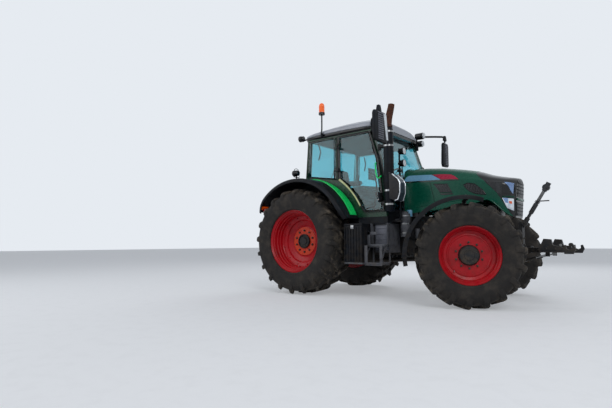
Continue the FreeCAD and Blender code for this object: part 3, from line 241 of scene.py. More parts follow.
@dataclass(frozen=True)
class TreadRubber(Finish):
    """Moulded tyre rubber: dark walls, with dried mud where the tread attribute is high."""

    def dress(self, tree: bpy.types.NodeTree, shader: bpy.types.Node) -> None:
        """Links the rubber, its dust and the mud on the lugs into the shader."""
        colour = self.base(tree)
        tread = node(tree, "Attribute", {"attribute_name": "tread"})
        clods = self.noise(tree, 85, 0.44, 0.68, 5.0)
        share = node(tree, "Math", {"operation": "MULTIPLY"}, {
            0: tread.outputs["Fac"], 1: clods})
        share = node(tree, "Math", {"operation": "MULTIPLY"}, {0: share.outputs[0], 1: 1.1})
        muddy = node(tree, "Mix", {"data_type": "RGBA"}, {
            "Factor": share.outputs[0], 6: colour, 7: linear("#6c6255")})
        tree.links.new(muddy.outputs[2], shader.inputs["Base Color"])
        pits = self.noise(tree, self.grain_mm, 0.2, 0.9, 8.0)
        bump = node(tree, "Bump", None, {
            "Height": pits, "Distance": self.grain_height_mm / 1000})
        tree.links.new(bump.outputs[0], shader.inputs["Normal"])


@dataclass(frozen=True)
class Glass(Finish):
    """Tinted safety glass: clear straight through, with the sky's gloss on it."""

    clear: float = 1.0

    def dress(self, tree: bpy.types.NodeTree, shader: bpy.types.Node) -> None:
        """Sets the tint, the gloss and how much light goes through."""
        shader.inputs["Base Color"].default_value = linear(self.colour)
        shader.inputs["Roughness"].default_value = self.roughness
        shader.inputs["Transmission Weight"].default_value = self.clear
        shader.inputs["IOR"].default_value = 1.45


@dataclass(frozen=True)
class MeshPanel(Finish):
    """A pressed metal mesh: rows of small dark holes in a black sheet."""

    pitch_mm: float = 16.0

    def dress(self, tree: bpy.types.NodeTree, shader: bpy.types.Node) -> None:
        """Draws the holes as cells; the real ones of 5 mm would be too fine to show."""
        place = node(tree, "TexCoord")
        cells = node(tree, "TexVoronoi", {"feature": "F1", "distance": "EUCLIDEAN"}, {
            "Vector": place.outputs["Object"], "Scale": 1000 / self.pitch_mm,
            "Randomness": 0.0})
        hole = node(tree, "MapRange", None, {
            "Value": cells.outputs["Distance"], "From Min": 0.34, "From Max": 0.4})
        mixed = node(tree, "Mix", {"data_type": "RGBA"}, {
            "Factor": hole.outputs["Result"], 6: linear("#050607"), 7: linear(self.colour)})
        tree.links.new(mixed.outputs[2], shader.inputs["Base Color"])
        bump = node(tree, "Bump", None, {
            "Height": hole.outputs["Result"], "Distance": 0.003})
        tree.links.new(bump.outputs[0], shader.inputs["Normal"])


# Moulded rubber with the soil of the field dried on it
RUBBER = TreadRubber("moulded_rubber", "#232120", 0.78, second="#3b3631", patch_mm=210,
                     grain_mm=9, grain_height_mm=0.9, gloss=0.3)
# Red stoving enamel on pressed rims: even gloss, dulled by a film of dust
RED_ENAMEL = Finish("red_rim_enamel", "#b50d1c", 0.36, second="#960b15", patch_mm=260,
                    mud=0.14, mud_top=0.9, gloss=0.3)
# The rear hub disc is a warmer, sun-bleached red
ORANGE_ENAMEL = Finish("faded_red_enamel", "#d8401c", 0.4, second="#c22a1a", patch_mm=120,
                       mud=0.12, mud_top=0.9, gloss=0.3)
# Dark green gloss enamel on pressed hood panels, with a light film of dust
GREEN_ENAMEL = Finish("green_gloss_enamel", "#045440", 0.3, second="#034a38", patch_mm=500,
                      coat=0.08, mud=0.05, mud_top=1.6, gloss=0.2)
# Green enamel with painted sunlight: the fender strip's bright green is the dark green paint as the
# sun lights it, a painted highlight
PAINTED_SUNLIT_GREEN = Finish("green_enamel_painted_sunlit", "#14e06c", 0.3, second="#10cc60", patch_mm=300,
                      gloss=0.35)
# Enamel on castings: satin dark grey, muddy near the ground
CAST_GREY = Finish("dark_grey_casting_enamel", "#1a1c20", 0.55, second="#121417", patch_mm=90,
                   grain_mm=6, grain_height_mm=0.5, mud=0.6, mud_top=1.0, gloss=0.3)
# Polypropylene with a moulded grain: satin black that greys a little in the sun
BLACK_PLASTIC = Finish("grained_black_plastic", "#0b0f15", 0.5, second="#141a22", patch_mm=240,
                       grain_mm=3, grain_height_mm=0.25, mud=0.25, mud_top=1.3, gloss=0.16)
GLOSS_BLACK = Finish("gloss_black_plastic", "#07090c", 0.18, second="#0b0e14", coat=0.1,
                     gloss=0.35)
# Silicone seal round the panes: matt and almost black
SEAL_RUBBER = Finish("pane_seal_rubber", "#0a0b0c", 0.75, gloss=0.25)
# Zinc-plated or turned steel with a brushed look
BRIGHT_STEEL = Finish("turned_steel", "#9a9c9e", 0.32, 1.0, second="#6b6a68", patch_mm=60,
                      mud=0.4, mud_top=1.2)
# Chromed reflectors behind the lamps' lenses
CHROME = Finish("chromed_reflector", "#d9dde2", 0.08, 1.0, second="#b9c3cf", patch_mm=80)
# Heat-proof black paint on the stack, a little chalky
STACK_BLACK = Finish("heat_proof_black_paint", "#080b11", 0.45, second="#111722", patch_mm=120,
                     grain_mm=4, grain_height_mm=0.2, gloss=0.14)
# The bare tip of the exhaust has rusted to a matt brown
RUSTY_STEEL = Finish("rusted_steel", "#5a3423", 0.85, 0.3, second="#2d1d17", patch_mm=35,
                     grain_mm=5, grain_height_mm=0.5)
# Gelcoat of the roof: pale grey, almost smooth
ROOF_GREY = Finish("pale_grey_gelcoat", "#a9adb6", 0.35, second="#9599a3", patch_mm=400,
                   coat=0.3)
STEP_GREY = Finish("grey_enamel_on_steel", "#55575d", 0.5, second="#3a3c42", patch_mm=110,
                   mud=0.5, mud_top=1.0, gloss=0.3)
PALE_BLUE = Finish("pale_blue_film", "#74aaca", 0.3, second="#5590b4", patch_mm=500, gloss=0.3)
STRIPE_RED = Finish("crimson_film", "#a8123a", 0.3, second="#930f33", patch_mm=300, gloss=0.3)
PANE = Glass("tinted_safety_glass", "#8fd2dc", 0.02)
LAMP_GLASS = Glass("clear_lamp_lens", "#e8f2fb", 0.03)
AMBER = Finish("amber_lens", "#e2560b", 0.2, second="#c23f06", patch_mm=60, coat=0.5, glow=0.15)
RED_LENS = Finish("red_lens", "#9c0d0d", 0.2, second="#7b0808", patch_mm=60, coat=0.5)
MIRROR_GLASS = Finish("mirror_glass", "#c6d2dc", 0.03, 1.0)
GRILLE_MESH = MeshPanel("black_mesh_panel", "#1b1e22", 0.4)
SEAT_CLOTH = Finish("woven_seat_cloth", "#1d1e22", 0.9, second="#26282e", patch_mm=120,
                    grain_mm=3, grain_height_mm=0.8)
LINER = Finish("grey_cab_lining", "#2f3438", 0.85, second="#272b2f", grain_mm=3,
               grain_height_mm=0.3)
NUT_STEEL = Finish("dull_plated_nuts", "#3c3a39", 0.5, 0.8, second="#2a2523", patch_mm=20,
                   mud=0.5)


# Lenses of the front lamps, coloured blue with a painted reflection of the sky
PAINTED_SKY_LENS = Finish("sky_blue_lamp_lens", "#7fa3d6", 0.12, second="#5f83b8", patch_mm=90, coat=0.6)
# Frosted faces of the work lamps
LAMP_FACE = Finish("frosted_lamp_face", "#e3e6e8", 0.25, second="#c6ccd2", patch_mm=30, coat=0.5)
BEACON_LENS = Finish("orange_beacon_dome", "#f0660c", 0.22, second="#d94f05", patch_mm=70,
                     coat=0.5, glow=0.35)
# The pale yellow strip on the door's lower edge is a painted sun highlight on the frame, not a
# moulding of its own
PAINTED_SUN_GLINT_STRIP = Finish("pale_yellow_painted_sun_glint", "#d3d39b", 0.3, second="#b6bb7d", patch_mm=160,
                   coat=0.4)
CAB_BLACK_GREEN = Finish("dark_green_post_enamel", "#0b4029", 0.3, second="#082c1d",
                         patch_mm=300, gloss=0.35, mud=0.06, mud_top=1.5)
DOOR_BLACK = Finish("black_frame_enamel", "#090d0c", 0.3, second="#0f1916", patch_mm=260,
                    gloss=0.35)
# Phosphated steel of the links, dark between its worn edges
LINK_STEEL = Finish("phosphated_link_steel", "#34373b", 0.45, 0.6, second="#1f2226", patch_mm=50,
                    grain_mm=5, grain_height_mm=0.2, mud=0.5, mud_top=1.5)
# Lighter grey powder coat of the cover beside the steps
PANEL_GREY = Finish("light_grey_powder_coat", "#777983", 0.5, second="#65676f", patch_mm=150,
                    grain_mm=4, grain_height_mm=0.1, gloss=0.3)
# Blue-grey sheet of the stack's guard; its rolled metal edges carry a near-white painted highlight
STACK_BLUE = Finish("blue_grey_sheet_enamel", "#39434f", 0.4, second="#2b333d", patch_mm=120)
PAINTED_HIGHLIGHT_EDGE = Finish("rolled_edge_painted_highlight", "#dfe4e8", 0.2, 0.4, second="#c3cad0", patch_mm=60)


# Shapes


def plane_matrix(axis: Axis) -> Matrix:
    """Turns an outline drawn in X and Y into the given view's plane.

    Args:
        axis: the view in which the outline was drawn.

    Returns:
        A matrix whose Z column is the direction in which the plate gets its thickness.
    """
    if axis is Axis.SIDE:
        return Matrix(((1, 0, 0, 0), (0, 0, 1, 0), (0, 1, 0, 0), (0, 0, 0, 1)))
    if axis is Axis.FRONT:
        return Matrix(((0, 0, 1, 0), (1, 0, 0, 0), (0, 1, 0, 0), (0, 0, 0, 1)))
    return Matrix.Identity(4)


def aim(start: Point, end: Point) -> Matrix:
    """A matrix that puts local Z on the line from start to end, with its origin at start."""
    way = Vector(end) - Vector(start)
    return Matrix.Translation(start) @ way.to_track_quat("Z", "Y").to_matrix().to_4x4()


def sharp_edges(bm: bmesh.types.BMesh, least: float = 40.0) -> list[bmesh.types.BMEdge]:
    """Edges whose faces meet at more than an angle in degrees."""
    limit = math.radians(least)
    return [edge for edge in bm.edges if edge.calc_face_angle(0.0) > limit]


def soften(bm: bmesh.types.BMesh, width: float, segments: int = 2, least: float = 40.0) -> None:
    """Bevels the sharp edges of a part.

    Args:
        bm: the part.
        width: the bevel's width.
        segments: its steps.
        least: the angle in degrees from which an edge counts as sharp.
    """
    if width > 0:
        bmesh.ops.bevel(bm, geom=sharp_edges(bm, least), offset=width, segments=segments,
                        profile=0.5, affect="EDGES", material=-1, clamp_overlap=True)


def arc(centre: Point, radius: float, first: float, last: float, steps: int) -> list[Point]:
    """Points on an arc, by angles in degrees."""
    angles = [math.radians(first + (last - first) * step / steps) for step in range(steps + 1)]
    return [(centre[0] + radius * math.cos(a), centre[1] + radius * math.sin(a)) for a in angles]


class Shape:
    """One piece in the making: parts that are joined into one mesh."""

    def __init__(self, name: str) -> None:
        """Starts an empty piece.

        Args:
            name: the name of its object.
        """
        self.name = name
        self.bm = bmesh.new()
        self.materials: list[bpy.types.Material] = []

    def add(self, part: bmesh.types.BMesh, finish: Finish, place: Matrix | None = None) -> None:
        """Joins a part into the piece.

        Args:
            part: the part, which is used up.
            finish: the finish of its faces.
            place: where it goes, if it isn't there yet.
        """
        material = finish.material()
        if material not in self.materials:
            self.materials.append(material)
        index = self.materials.index(material)
        for face in part.faces:
            face.material_index = index
        if place is not None:
            bmesh.ops.transform(part, matrix=place, verts=part.verts)
            if place.determinant() < 0:
                bmesh.ops.reverse_faces(part, faces=part.faces)
        carrier = bpy.data.meshes.new("part")
        part.to_mesh(carrier)
        part.free()
        self.bm.from_mesh(carrier)
        bpy.data.meshes.remove(carrier)

    def cuboid(self, low: Point, high: Point, finish: Finish, bevel: float = 0.004,
               place: Matrix | None = None) -> None:
        """Adds a block with rounded edges between two corners."""
        part = bmesh.new()
        low, high = Vector(low), Vector(high)
        matrix = Matrix.Translation((low + high) / 2) @ Matrix.Diagonal((*(high - low), 1))
        bmesh.ops.create_cube(part, size=1, matrix=matrix)
        bmesh.ops.recalc_face_normals(part, faces=part.faces)
        soften(part, bevel)
        self.add(part, finish, place)

    def bar(self, start: Point, end: Point, radius: float, finish: Finish, sides: int = 24,
            bevel: float = 0.002, end_radius: float | None = None,
            place: Matrix | None = None) -> None:
        """Adds a round bar or cone between two points."""
        part = bmesh.new()
        length = (Vector(end) - Vector(start)).length
        middle = Matrix.Translation((0, 0, length / 2))
        bmesh.ops.create_cone(part, cap_ends=True, segments=sides, radius1=radius,
                              radius2=radius if end_radius is None else end_radius,
                              depth=length, matrix=aim(start, end) @ middle)
        soften(part, bevel, 2, 60 if sides > 8 else 40)
        self.add(part, finish, place)

    def turned(self, profile: Sequence[Point], finish: Finish, place: Matrix,
               steps: int = 48) -> None:
        """Adds a part turned about local Z from (radius, height) points."""
        part = bmesh.new()
        points = [part.verts.new((radius, 0, height)) for radius, height in profile]
        lines = [part.edges.new(pair) for pair in zip(points, points[1:])]
        bmesh.ops.spin(part, geom=points + lines, cent=(0, 0, 0), axis=(0, 0, 1),
                       angle=2 * math.pi, steps=steps, use_merge=True)
        bmesh.ops.remove_doubles(part, verts=part.verts, dist=1e-5)
        bmesh.ops.recalc_face_normals(part, faces=part.faces)
        self.add(part, finish, place)

    def plate(self, points: Sequence[Point], axis: Axis, low: float, high: float,
              finish: Finish, bevel: float = 0.003, place: Matrix | None = None) -> None:
        """Adds a plate from its outline in one view, between two stations across it."""
        part = bmesh.new()
        face = part.faces.new([part.verts.new((x, y, 0)) for x, y in points])
        grown = bmesh.ops.extrude_face_region(part, geom=[face])
        moved = [item for item in grown["geom"] if isinstance(item, bmesh.types.BMVert)]
        bmesh.ops.translate(part, vec=(0, 0, high - low), verts=moved)
        bmesh.ops.transform(part, matrix=plane_matrix(axis) @ Matrix.Translation((0, 0, low)),
                            verts=part.verts)
        bmesh.ops.recalc_face_normals(part, faces=part.faces)
        soften(part, bevel, 2, 25)
        self.add(part, finish, place)

    def lofted(self, rings: Sequence[Sequence[Point]], finish: Finish,
               place: Matrix | None = None, closed: bool = True) -> None:
        """Adds a skin through sections that all have as many points.

        Args:
            rings: the sections, from one end to the other.
            finish: the finish of its faces.
            place: where it goes, if it isn't there yet.
            closed: whether each section is a loop, with a face at both ends.
        """
        part = bmesh.new()
        loops: list[list[bmesh.types.BMEdge]] = []
        for index, ring in enumerate(rings):
            points = [part.verts.new(point) for point in ring]
            pairs = list(zip(points, points[1:] + points[:1] if closed else points[1:]))
            loops.append([part.edges.new(pair) for pair in pairs])
            if closed and index in (0, len(rings) - 1):
                part.faces.new(points)
        for near, far in zip(loops, loops[1:]):
            bmesh.ops.bridge_loops(part, edges=near + far)
        bmesh.ops.recalc_face_normals(part, faces=part.faces)
        self.add(part, finish, place)

    def swept(self, path: Sequence[Point], radius: float, finish: Finish, sides: int = 12,
              place: Matrix | None = None, end_radius: float | None = None) -> None:
        """Adds a round bar that follows a path."""
        part = bmesh.new()
        points = [Vector(point) for point in path]
        last = len(points) - 1
        previous: list[bmesh.types.BMEdge] = []
        turn = (points[1] - points[0]).to_track_quat("Z", "Y")
        for index, point in enumerate(points):
            way = points[min(index + 1, last)] - points[max(index - 1, 0)]
            swing = (turn @ Vector((0, 0, 1))).rotation_difference(way)
            turn = swing @ turn
            share = index / last
            width = radius + ((radius if end_radius is None else end_radius) - radius) * share
            matrix = Matrix.Translation(point) @ turn.to_matrix().to_4x4()
            ring = bmesh.ops.create_circle(part, segments=sides, radius=width, matrix=matrix,
                                           cap_ends=index in (0, last))
            corners = set(ring["verts"])
            edges = [edge for edge in part.edges
                     if edge.verts[0] in corners and edge.verts[1] in corners]
            if previous:
                bmesh.ops.bridge_loops(part, edges=previous + edges)
            previous = edges
        bmesh.ops.recalc_face_normals(part, faces=part.faces)
        self.add(part, finish, place)

    def finish(self, body: str, slot: str, replaces: Iterable[str] = (),
               smooth: float = 32.0) -> bpy.types.Object:
        """Makes the piece's object and lets it ride on its body.

        Args:
            body: the CAD body that it moves with.
            slot: the record's material slot; not used.
            replaces: the CAD nodes that it stands for.
            smooth: the angle in degrees above which an edge stays sharp.

        Returns:
            The object, at the frame's origin.
        """
        bmesh.ops.translate(self.bm, vec=(REAR_AXLE_X, 0, 0), verts=self.bm.verts)
        mesh = bpy.data.meshes.new(self.name)
        self.bm.to_mesh(mesh)
        self.bm.free()
        for material in self.materials:
            mesh.materials.append(material)
        mesh.shade_smooth()
        mesh.set_sharp_from_angle(angle=math.radians(smooth))
        made = bpy.data.objects.new(self.name, mesh)
        bpy.context.scene.collection.objects.link(made)
        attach(made, body)
        if replaces:
            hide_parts(*replaces)
        LOG.info("%s rides on %s", self.name, body)
        return made


# Wheels


@dataclass
class Wheel:
    """A tyre on its rim, built about local Z, which points out of the wheel's outer face."""

    kind: str
    side: Side
    hub_x: float
    hub_y: float
    hub_z: float
    turned: float
    radius: float
    half: float
    seat: float
    flange: float
    rim_half: float
    lug_height: float
    lugs: int
    sweep: float = 0.215

    def place(self) -> Matrix:
        """From the wheel's own axes to the tractor's."""
        outward = Matrix.Rotation(math.radians(-90 * self.side.value), 4, "X")
        return (Matrix.Translation((self.hub_x, self.hub_y, self.hub_z))
                @ Matrix.Rotation(self.turned, 4, "Z") @ outward)

    @property
    def crown(self) -> float:
        """Radius of the carcass between the lugs."""
        return self.radius - self.lug_height

    def wall_profile(self) -> list[Point]:
        """Outer half of the carcass from the tread's middle to the bead."""
        seat, half, crown = self.seat, self.half, self.crown
        bulge = seat + (crown - seat) * 0.5
        return [
            (crown, 0.0), (crown - 0.004, half * 0.5), (crown - 0.014, half * 0.74),
            (crown - 0.034, half * 0.88), (crown - 0.07, half * 0.965),
            (crown - 0.115, half * 0.993), (bulge + 0.02, half), (bulge - 0.03, half * 0.99),
            (seat + 0.085, half * 0.955), (seat + 0.055, half * 0.93),
            (seat + 0.048, half * 0.935), (seat + 0.04, half * 0.92),
            (seat + 0.026, self.rim_half + 0.034), (seat + 0.024, self.rim_half + 0.006),
            (seat + 0.006, self.rim_half), (seat + 0.006, 0.0)]

    def lug(self) -> bmesh.types.BMesh:
        """One slanted lug at the top of the wheel, tapered from its root to its tip."""
        part = bmesh.new()
        steps = 7
        inner, outer = 0.012, self.half + 0.002
        loops: list[list[bmesh.types.BMEdge]] = []
        for step in range(steps + 1):
            share = step / steps
            across = inner + (outer - inner) * share
            ease = math.sin(share * math.pi / 2)
            along = (0.5 - ease) * self.sweep * 0.9
            tip = 0.021 + 0.012 * share
            root = 0.036 + 0.012 * share
            drop = 0.0 if share < 0.72 else (share - 0.72) ** 2 * 0.95
            top = math.sqrt(self.radius ** 2 - along ** 2) - 0.001 - drop - 0.004 * share
            low = self.crown - 0.03 - drop * 1.35
            corners = [(along - root, low), (along - tip, top), (along + tip, top),
                       (along + root, low)]
            ring = [part.verts.new((x, z, across)) for x, z in corners]
            loops.append([part.edges.new((ring[i], ring[(i + 1) % 4])) for i in range(4)])
            if step in (0, steps):
                part.faces.new(ring)
        for first, second in zip(loops, loops[1:]):
            bmesh.ops.bridge_loops(part, edges=first + second)
        bmesh.ops.recalc_face_normals(part, faces=part.faces)
        soften(part, 0.007, 2, 30)
        return part

    def tyre(self) -> None:
        """Carcass, bead ribs and two rows of lugs, each piece of mud where the tread is."""
        shape = Shape(f"tyre_{self.kind}_{self.side.word}_tread")
        wall = self.wall_profile()
        profile = [(radius, -along) for radius, along in wall[::-1]] + wall[1:]
        shape.turned(profile, RUBBER, Matrix.Identity(4), 96)
        pattern = self.lug()
        carrier = bpy.data.meshes.new("lug")
        pattern.to_mesh(carrier)
        pattern.free()
        pitch = 2 * math.pi / self.lugs
        for row in (1, -1):
            for index in range(self.lugs):
                turn = pitch * (index + (0.25 if row > 0 else -0.25)) + pitch * 0.25
                part = bmesh.new()
                part.from_mesh(carrier)
                mirror = Matrix.Diagonal((1, 1, row, 1))
                shape.add(part, RUBBER, Matrix.Rotation(turn, 4, "Z") @ mirror)
        bpy.data.meshes.remove(carrier)
        lead = shape.bm.verts.layers.float.new("tread")
        for vert in shape.bm.verts:
            reach = math.hypot(vert.co.x, vert.co.y)
            depth = (reach - (self.crown - 0.05)) / 0.09
            vert[lead] = min(max(depth, 0.06), 1.0)
        bmesh.ops.transform(shape.bm, matrix=self.place(), verts=shape.bm.verts)
        node_name = f"tyre_{self.kind}_{self.side.word}"
        shape.finish(f"wheel_{self.kind}_{self.side.word}", "tyre_rubber", [node_name], 40)

    def nuts(self, shape: Shape, count: int, circle: float, height: float, radius: float,
             finish: Finish) -> None:
        """Adds a circle of hexagon nuts with their stud ends."""
        for index in range(count):
            angle = 2 * math.pi * (index + 0.5) / count
            x, y = circle * math.cos(angle), circle * math.sin(angle)
            shape.bar((x, y, height - 0.002), (x, y, height + radius * 0.9), radius, finish, 6,
                      0.002)
            shape.bar((x, y, height), (x, y, height + radius * 1.5), radius * 0.5, finish, 10,
                      0.001)


@dataclass
class RearWheel(Wheel):
    """A rear wheel: a deep dish with stepped rings and a hub disc."""

    def rim(self) -> None:
        """The rim's barrel, its steps, the hub disc, nuts and hub."""
        shape = Shape(f"rim_rear_{self.side.word}_dish")
        seat, flange, half = self.seat, self.flange, self.rim_half
        barrel = [
            (seat, -half), (flange, -half), (flange + 0.002, -half - 0.012),
            (flange - 0.006, -half - 0.018), (seat - 0.018, -half - 0.018), (0.47, -0.12),
            (0.40, -0.115), (0.395, -0.09), (0.30, -0.085), (0.27, -0.078),
            (0.12, -0.078), (0.12, -0.058), (0.262, -0.058), (0.278, -0.066), (0.30, -0.048),
            (0.362, -0.04), (0.378, -0.028), (0.385, 0.0), (0.40, 0.012), (0.462, 0.02),
            (0.472, 0.032), (0.474, 0.09), (0.484, 0.098), (0.486, 0.15), (0.498, 0.16),
            (0.502, 0.215), (seat - 0.018, 0.226), (seat - 0.016, half - 0.01),
            (flange - 0.02, half + 0.006), (flange - 0.012, half + 0.018),
            (flange, half + 0.016), (flange + 0.002, half + 0.006), (flange - 0.004, half),
            (seat, half), (seat, -half)]
        shape.turned(barrel, RED_ENAMEL, Matrix.Identity(4), 96)
        shape.turned([(0.10, -0.06), (0.258, -0.06), (0.26, -0.055), (0.256, -0.05),
                      (0.10, -0.05), (0.10, -0.06)], ORANGE_ENAMEL, Matrix.Identity(4), 96)
        shape.turned([(0.0, -0.128), (0.148, -0.128), (0.148, -0.079), (0.13, -0.077),
                      (0.13, -0.02), (0.118, -0.012), (0.112, -0.012), (0.108, -0.03),
                      (0.07, -0.032), (0.062, -0.02), (0.0, -0.02)], CAST_GREY,
                     Matrix.Identity(4), 64)
        self.nuts(shape, 10, 0.195, -0.05, 0.019, NUT_STEEL)
        self.nuts(shape, 8, 0.09, -0.032, 0.008, NUT_STEEL)
        self.nuts(shape, 12, 0.43, 0.016, 0.014, RED_ENAMEL)
        shape.bar((0.0, -0.45, 0.07), (0.0, -0.45, 0.125), 0.007, BRIGHT_STEEL, 12)
        bmesh.ops.transform(shape.bm, matrix=self.place(), verts=shape.bm.verts)
        shape.finish(f"wheel_rear_{self.side.word}", "rim_red", [f"rim_rear_{self.side.word}"])


@dataclass
class FrontWheel(Wheel):
    """A front wheel: a shallow dish, ten nuts and a grey hub cap."""

    def rim(self) -> None:
        """The rim's barrel, its dish, nuts, planetary cap and valve."""
        shape = Shape(f"rim_front_{self.side.word}_dish")
        seat, flange, half = self.seat, self.flange, self.rim_half
        barrel = [
            (seat, -half), (flange, -half), (flange + 0.002, -half - 0.012),
            (flange - 0.006, -half - 0.018), (seat - 0.018, -half - 0.018), (0.352, -0.05),
            (0.34, 0.07), (0.30, 0.09), (0.14, 0.09), (0.14, 0.104), (0.268, 0.104),
            (0.276, 0.11), (0.288, 0.11), (0.298, 0.104), (0.31, 0.106), (0.322, 0.116),
            (0.334, 0.12), (0.342, 0.13), (0.346, 0.165), (0.352, 0.19), (seat - 0.014, 0.204),
            (seat - 0.012, half - 0.006), (flange - 0.018, half + 0.008),
            (flange - 0.01, half + 0.018), (flange, half + 0.016), (flange + 0.002, half + 0.006),
            (flange - 0.004, half), (seat, half), (seat, -half)]
        shape.turned(barrel, RED_ENAMEL, Matrix.Identity(4), 96)
        shape.turned([(0.0, -0.058), (0.133, -0.058), (0.133, 0.088), (0.142, 0.105),
                      (0.142, 0.118), (0.134, 0.13), (0.128, 0.158), (0.12, 0.166),
                      (0.07, 0.168), (0.064, 0.174), (0.0, 0.176)], CAST_GREY,
                     Matrix.Identity(4), 64)
        self.nuts(shape, 10, 0.178, 0.104, 0.016, NUT_STEEL)
        self.nuts(shape, 9, 0.1, 0.166, 0.007, NUT_STEEL)
        shape.bar((-0.2, -0.215, 0.108), (-0.2, -0.215, 0.15), 0.006, BRIGHT_STEEL, 12)
        bmesh.ops.transform(shape.bm, matrix=self.place(), verts=shape.bm.verts)
        shape.finish(f"wheel_front_{self.side.word}", "rim_red",
                     [f"rim_front_{self.side.word}"])


REAR_HUB_Z = 0.939443
FRONT_HUB_Z = 0.725084
KINGPIN_Y = 0.75
WHEEL_OUT = 0.235


def make_wheels() -> None:
    """All four wheels with their tyres."""
    for side in Side:
        way = side.value
        rear = RearWheel("rear", side, 0.0, 0.96 * way, REAR_HUB_Z, 0.0, 0.94, 0.325, 0.5334,
                         0.558, 0.254, 0.048, 20, 0.23)
        front = FrontWheel("front", side, WHEELBASE - WHEEL_OUT * math.sin(STEER) * way,
                           (KINGPIN_Y + WHEEL_OUT * math.cos(STEER)) * way, FRONT_HUB_Z, STEER,
                           0.726, 0.28, 0.381, 0.403, 0.216, 0.042, 18, 0.18)
        for wheel in (rear, front):
            wheel.tyre()
            wheel.rim()


# Fenders


@dataclass
class FrontFender:
    """A curved black fender over a front wheel, on its bracket from the knuckle."""

    side: Side
    radius: float = 0.842
    near: float = 0.125
    far: float = 0.425
    first: float = 71.0
    last: float = 190.0
    back: float = 0.05
    drop: float = 0.015

    def place(self) -> Matrix:
        """From the kingpin's axes to the tractor's."""
        return (Matrix.Translation((WHEELBASE, KINGPIN_Y * self.side.value, FRONT_HUB_Z))
                @ Matrix.Rotation(STEER, 4, "Z"))

    def section(self, angle: float) -> list[Point]:
        """The bent sheet's section at an angle round the wheel, in degrees."""
        way = self.side.value
        ends = min((angle - self.first) / 16, (self.last - angle) / 26, 1.0)
        narrow = 1 - 0.42 * (1 - max(ends, 0.0)) ** 2
        middle, half = (self.near + self.far) / 2, (self.far - self.near) / 2 * narrow
        outer: list[Point] = [(1.0, -0.062), (0.992, -0.02), (0.97, -0.006), (0.93, -0.001),
                              (0.5, 0.0), (0.0, 0.002), (-0.5, 0.0), (-0.93, -0.001),
                              (-0.985, -0.006), (-1.0, -0.02)]
        inner: list[Point] = [(-0.965, -0.02), (-0.94, -0.012), (-0.5, -0.008), (0.5, -0.008),
                              (0.94, -0.012), (0.958, -0.022), (0.968, -0.062)]
        turn = math.radians(angle)
        ring = []
        for across, rise in outer + inner:
            reach = self.radius + rise
            ring.append((reach * math.cos(turn) - self.back, (middle + half * across) * way,
                         reach * math.sin(turn) - self.drop))
        return ring

    def build(self) -> None:
        """The bent sheet, its stiffening bead and the bracket below it."""
        shape = Shape(f"front_fender_{self.side.word}_shell")
        steps = 40
        rings = [self.section(self.first + (self.last - self.first) * step / steps)
                 for step in range(steps + 1)]
        shape.lofted(rings, BLACK_PLASTIC)
        way = self.side.value
        for across in (0.2, 0.3):
            rib = [(0.826 * math.cos(a) - self.back, across * way,
                    0.826 * math.sin(a) - self.drop)
                   for a in (math.radians(80 + 3 * step) for step in range(9))]
            shape.swept(rib, 0.008, CAST_GREY, 8)
        low, high = sorted((-0.08 * way, -0.052 * way))
        shape.cuboid((-0.032, low, 0.147), (0.032, high, 0.7735), CAST_GREY, 0.006)
        low, high = sorted((-0.08 * way, 0.3 * way))
        shape.cuboid((-0.032, low, 0.7735), (0.032, high, 0.7935), CAST_GREY, 0.005)
        low, high = sorted((0.2 * way, 0.3 * way))
        shape.cuboid((-0.032, low, 0.78), (0.032, high, 0.822), CAST_GREY, 0.004)
        for across in (0.22, 0.28):
            shape.bar((0.0, across * way, 0.815), (0.0, across * way, 0.842), 0.012, NUT_STEEL,
                      6)
        bmesh.ops.transform(shape.bm, matrix=self.place(), verts=shape.bm.verts)
        shape.finish(f"knuckle_{self.side.word}", "black_plastic",
                     [f"front_fender_{self.side.word}"])


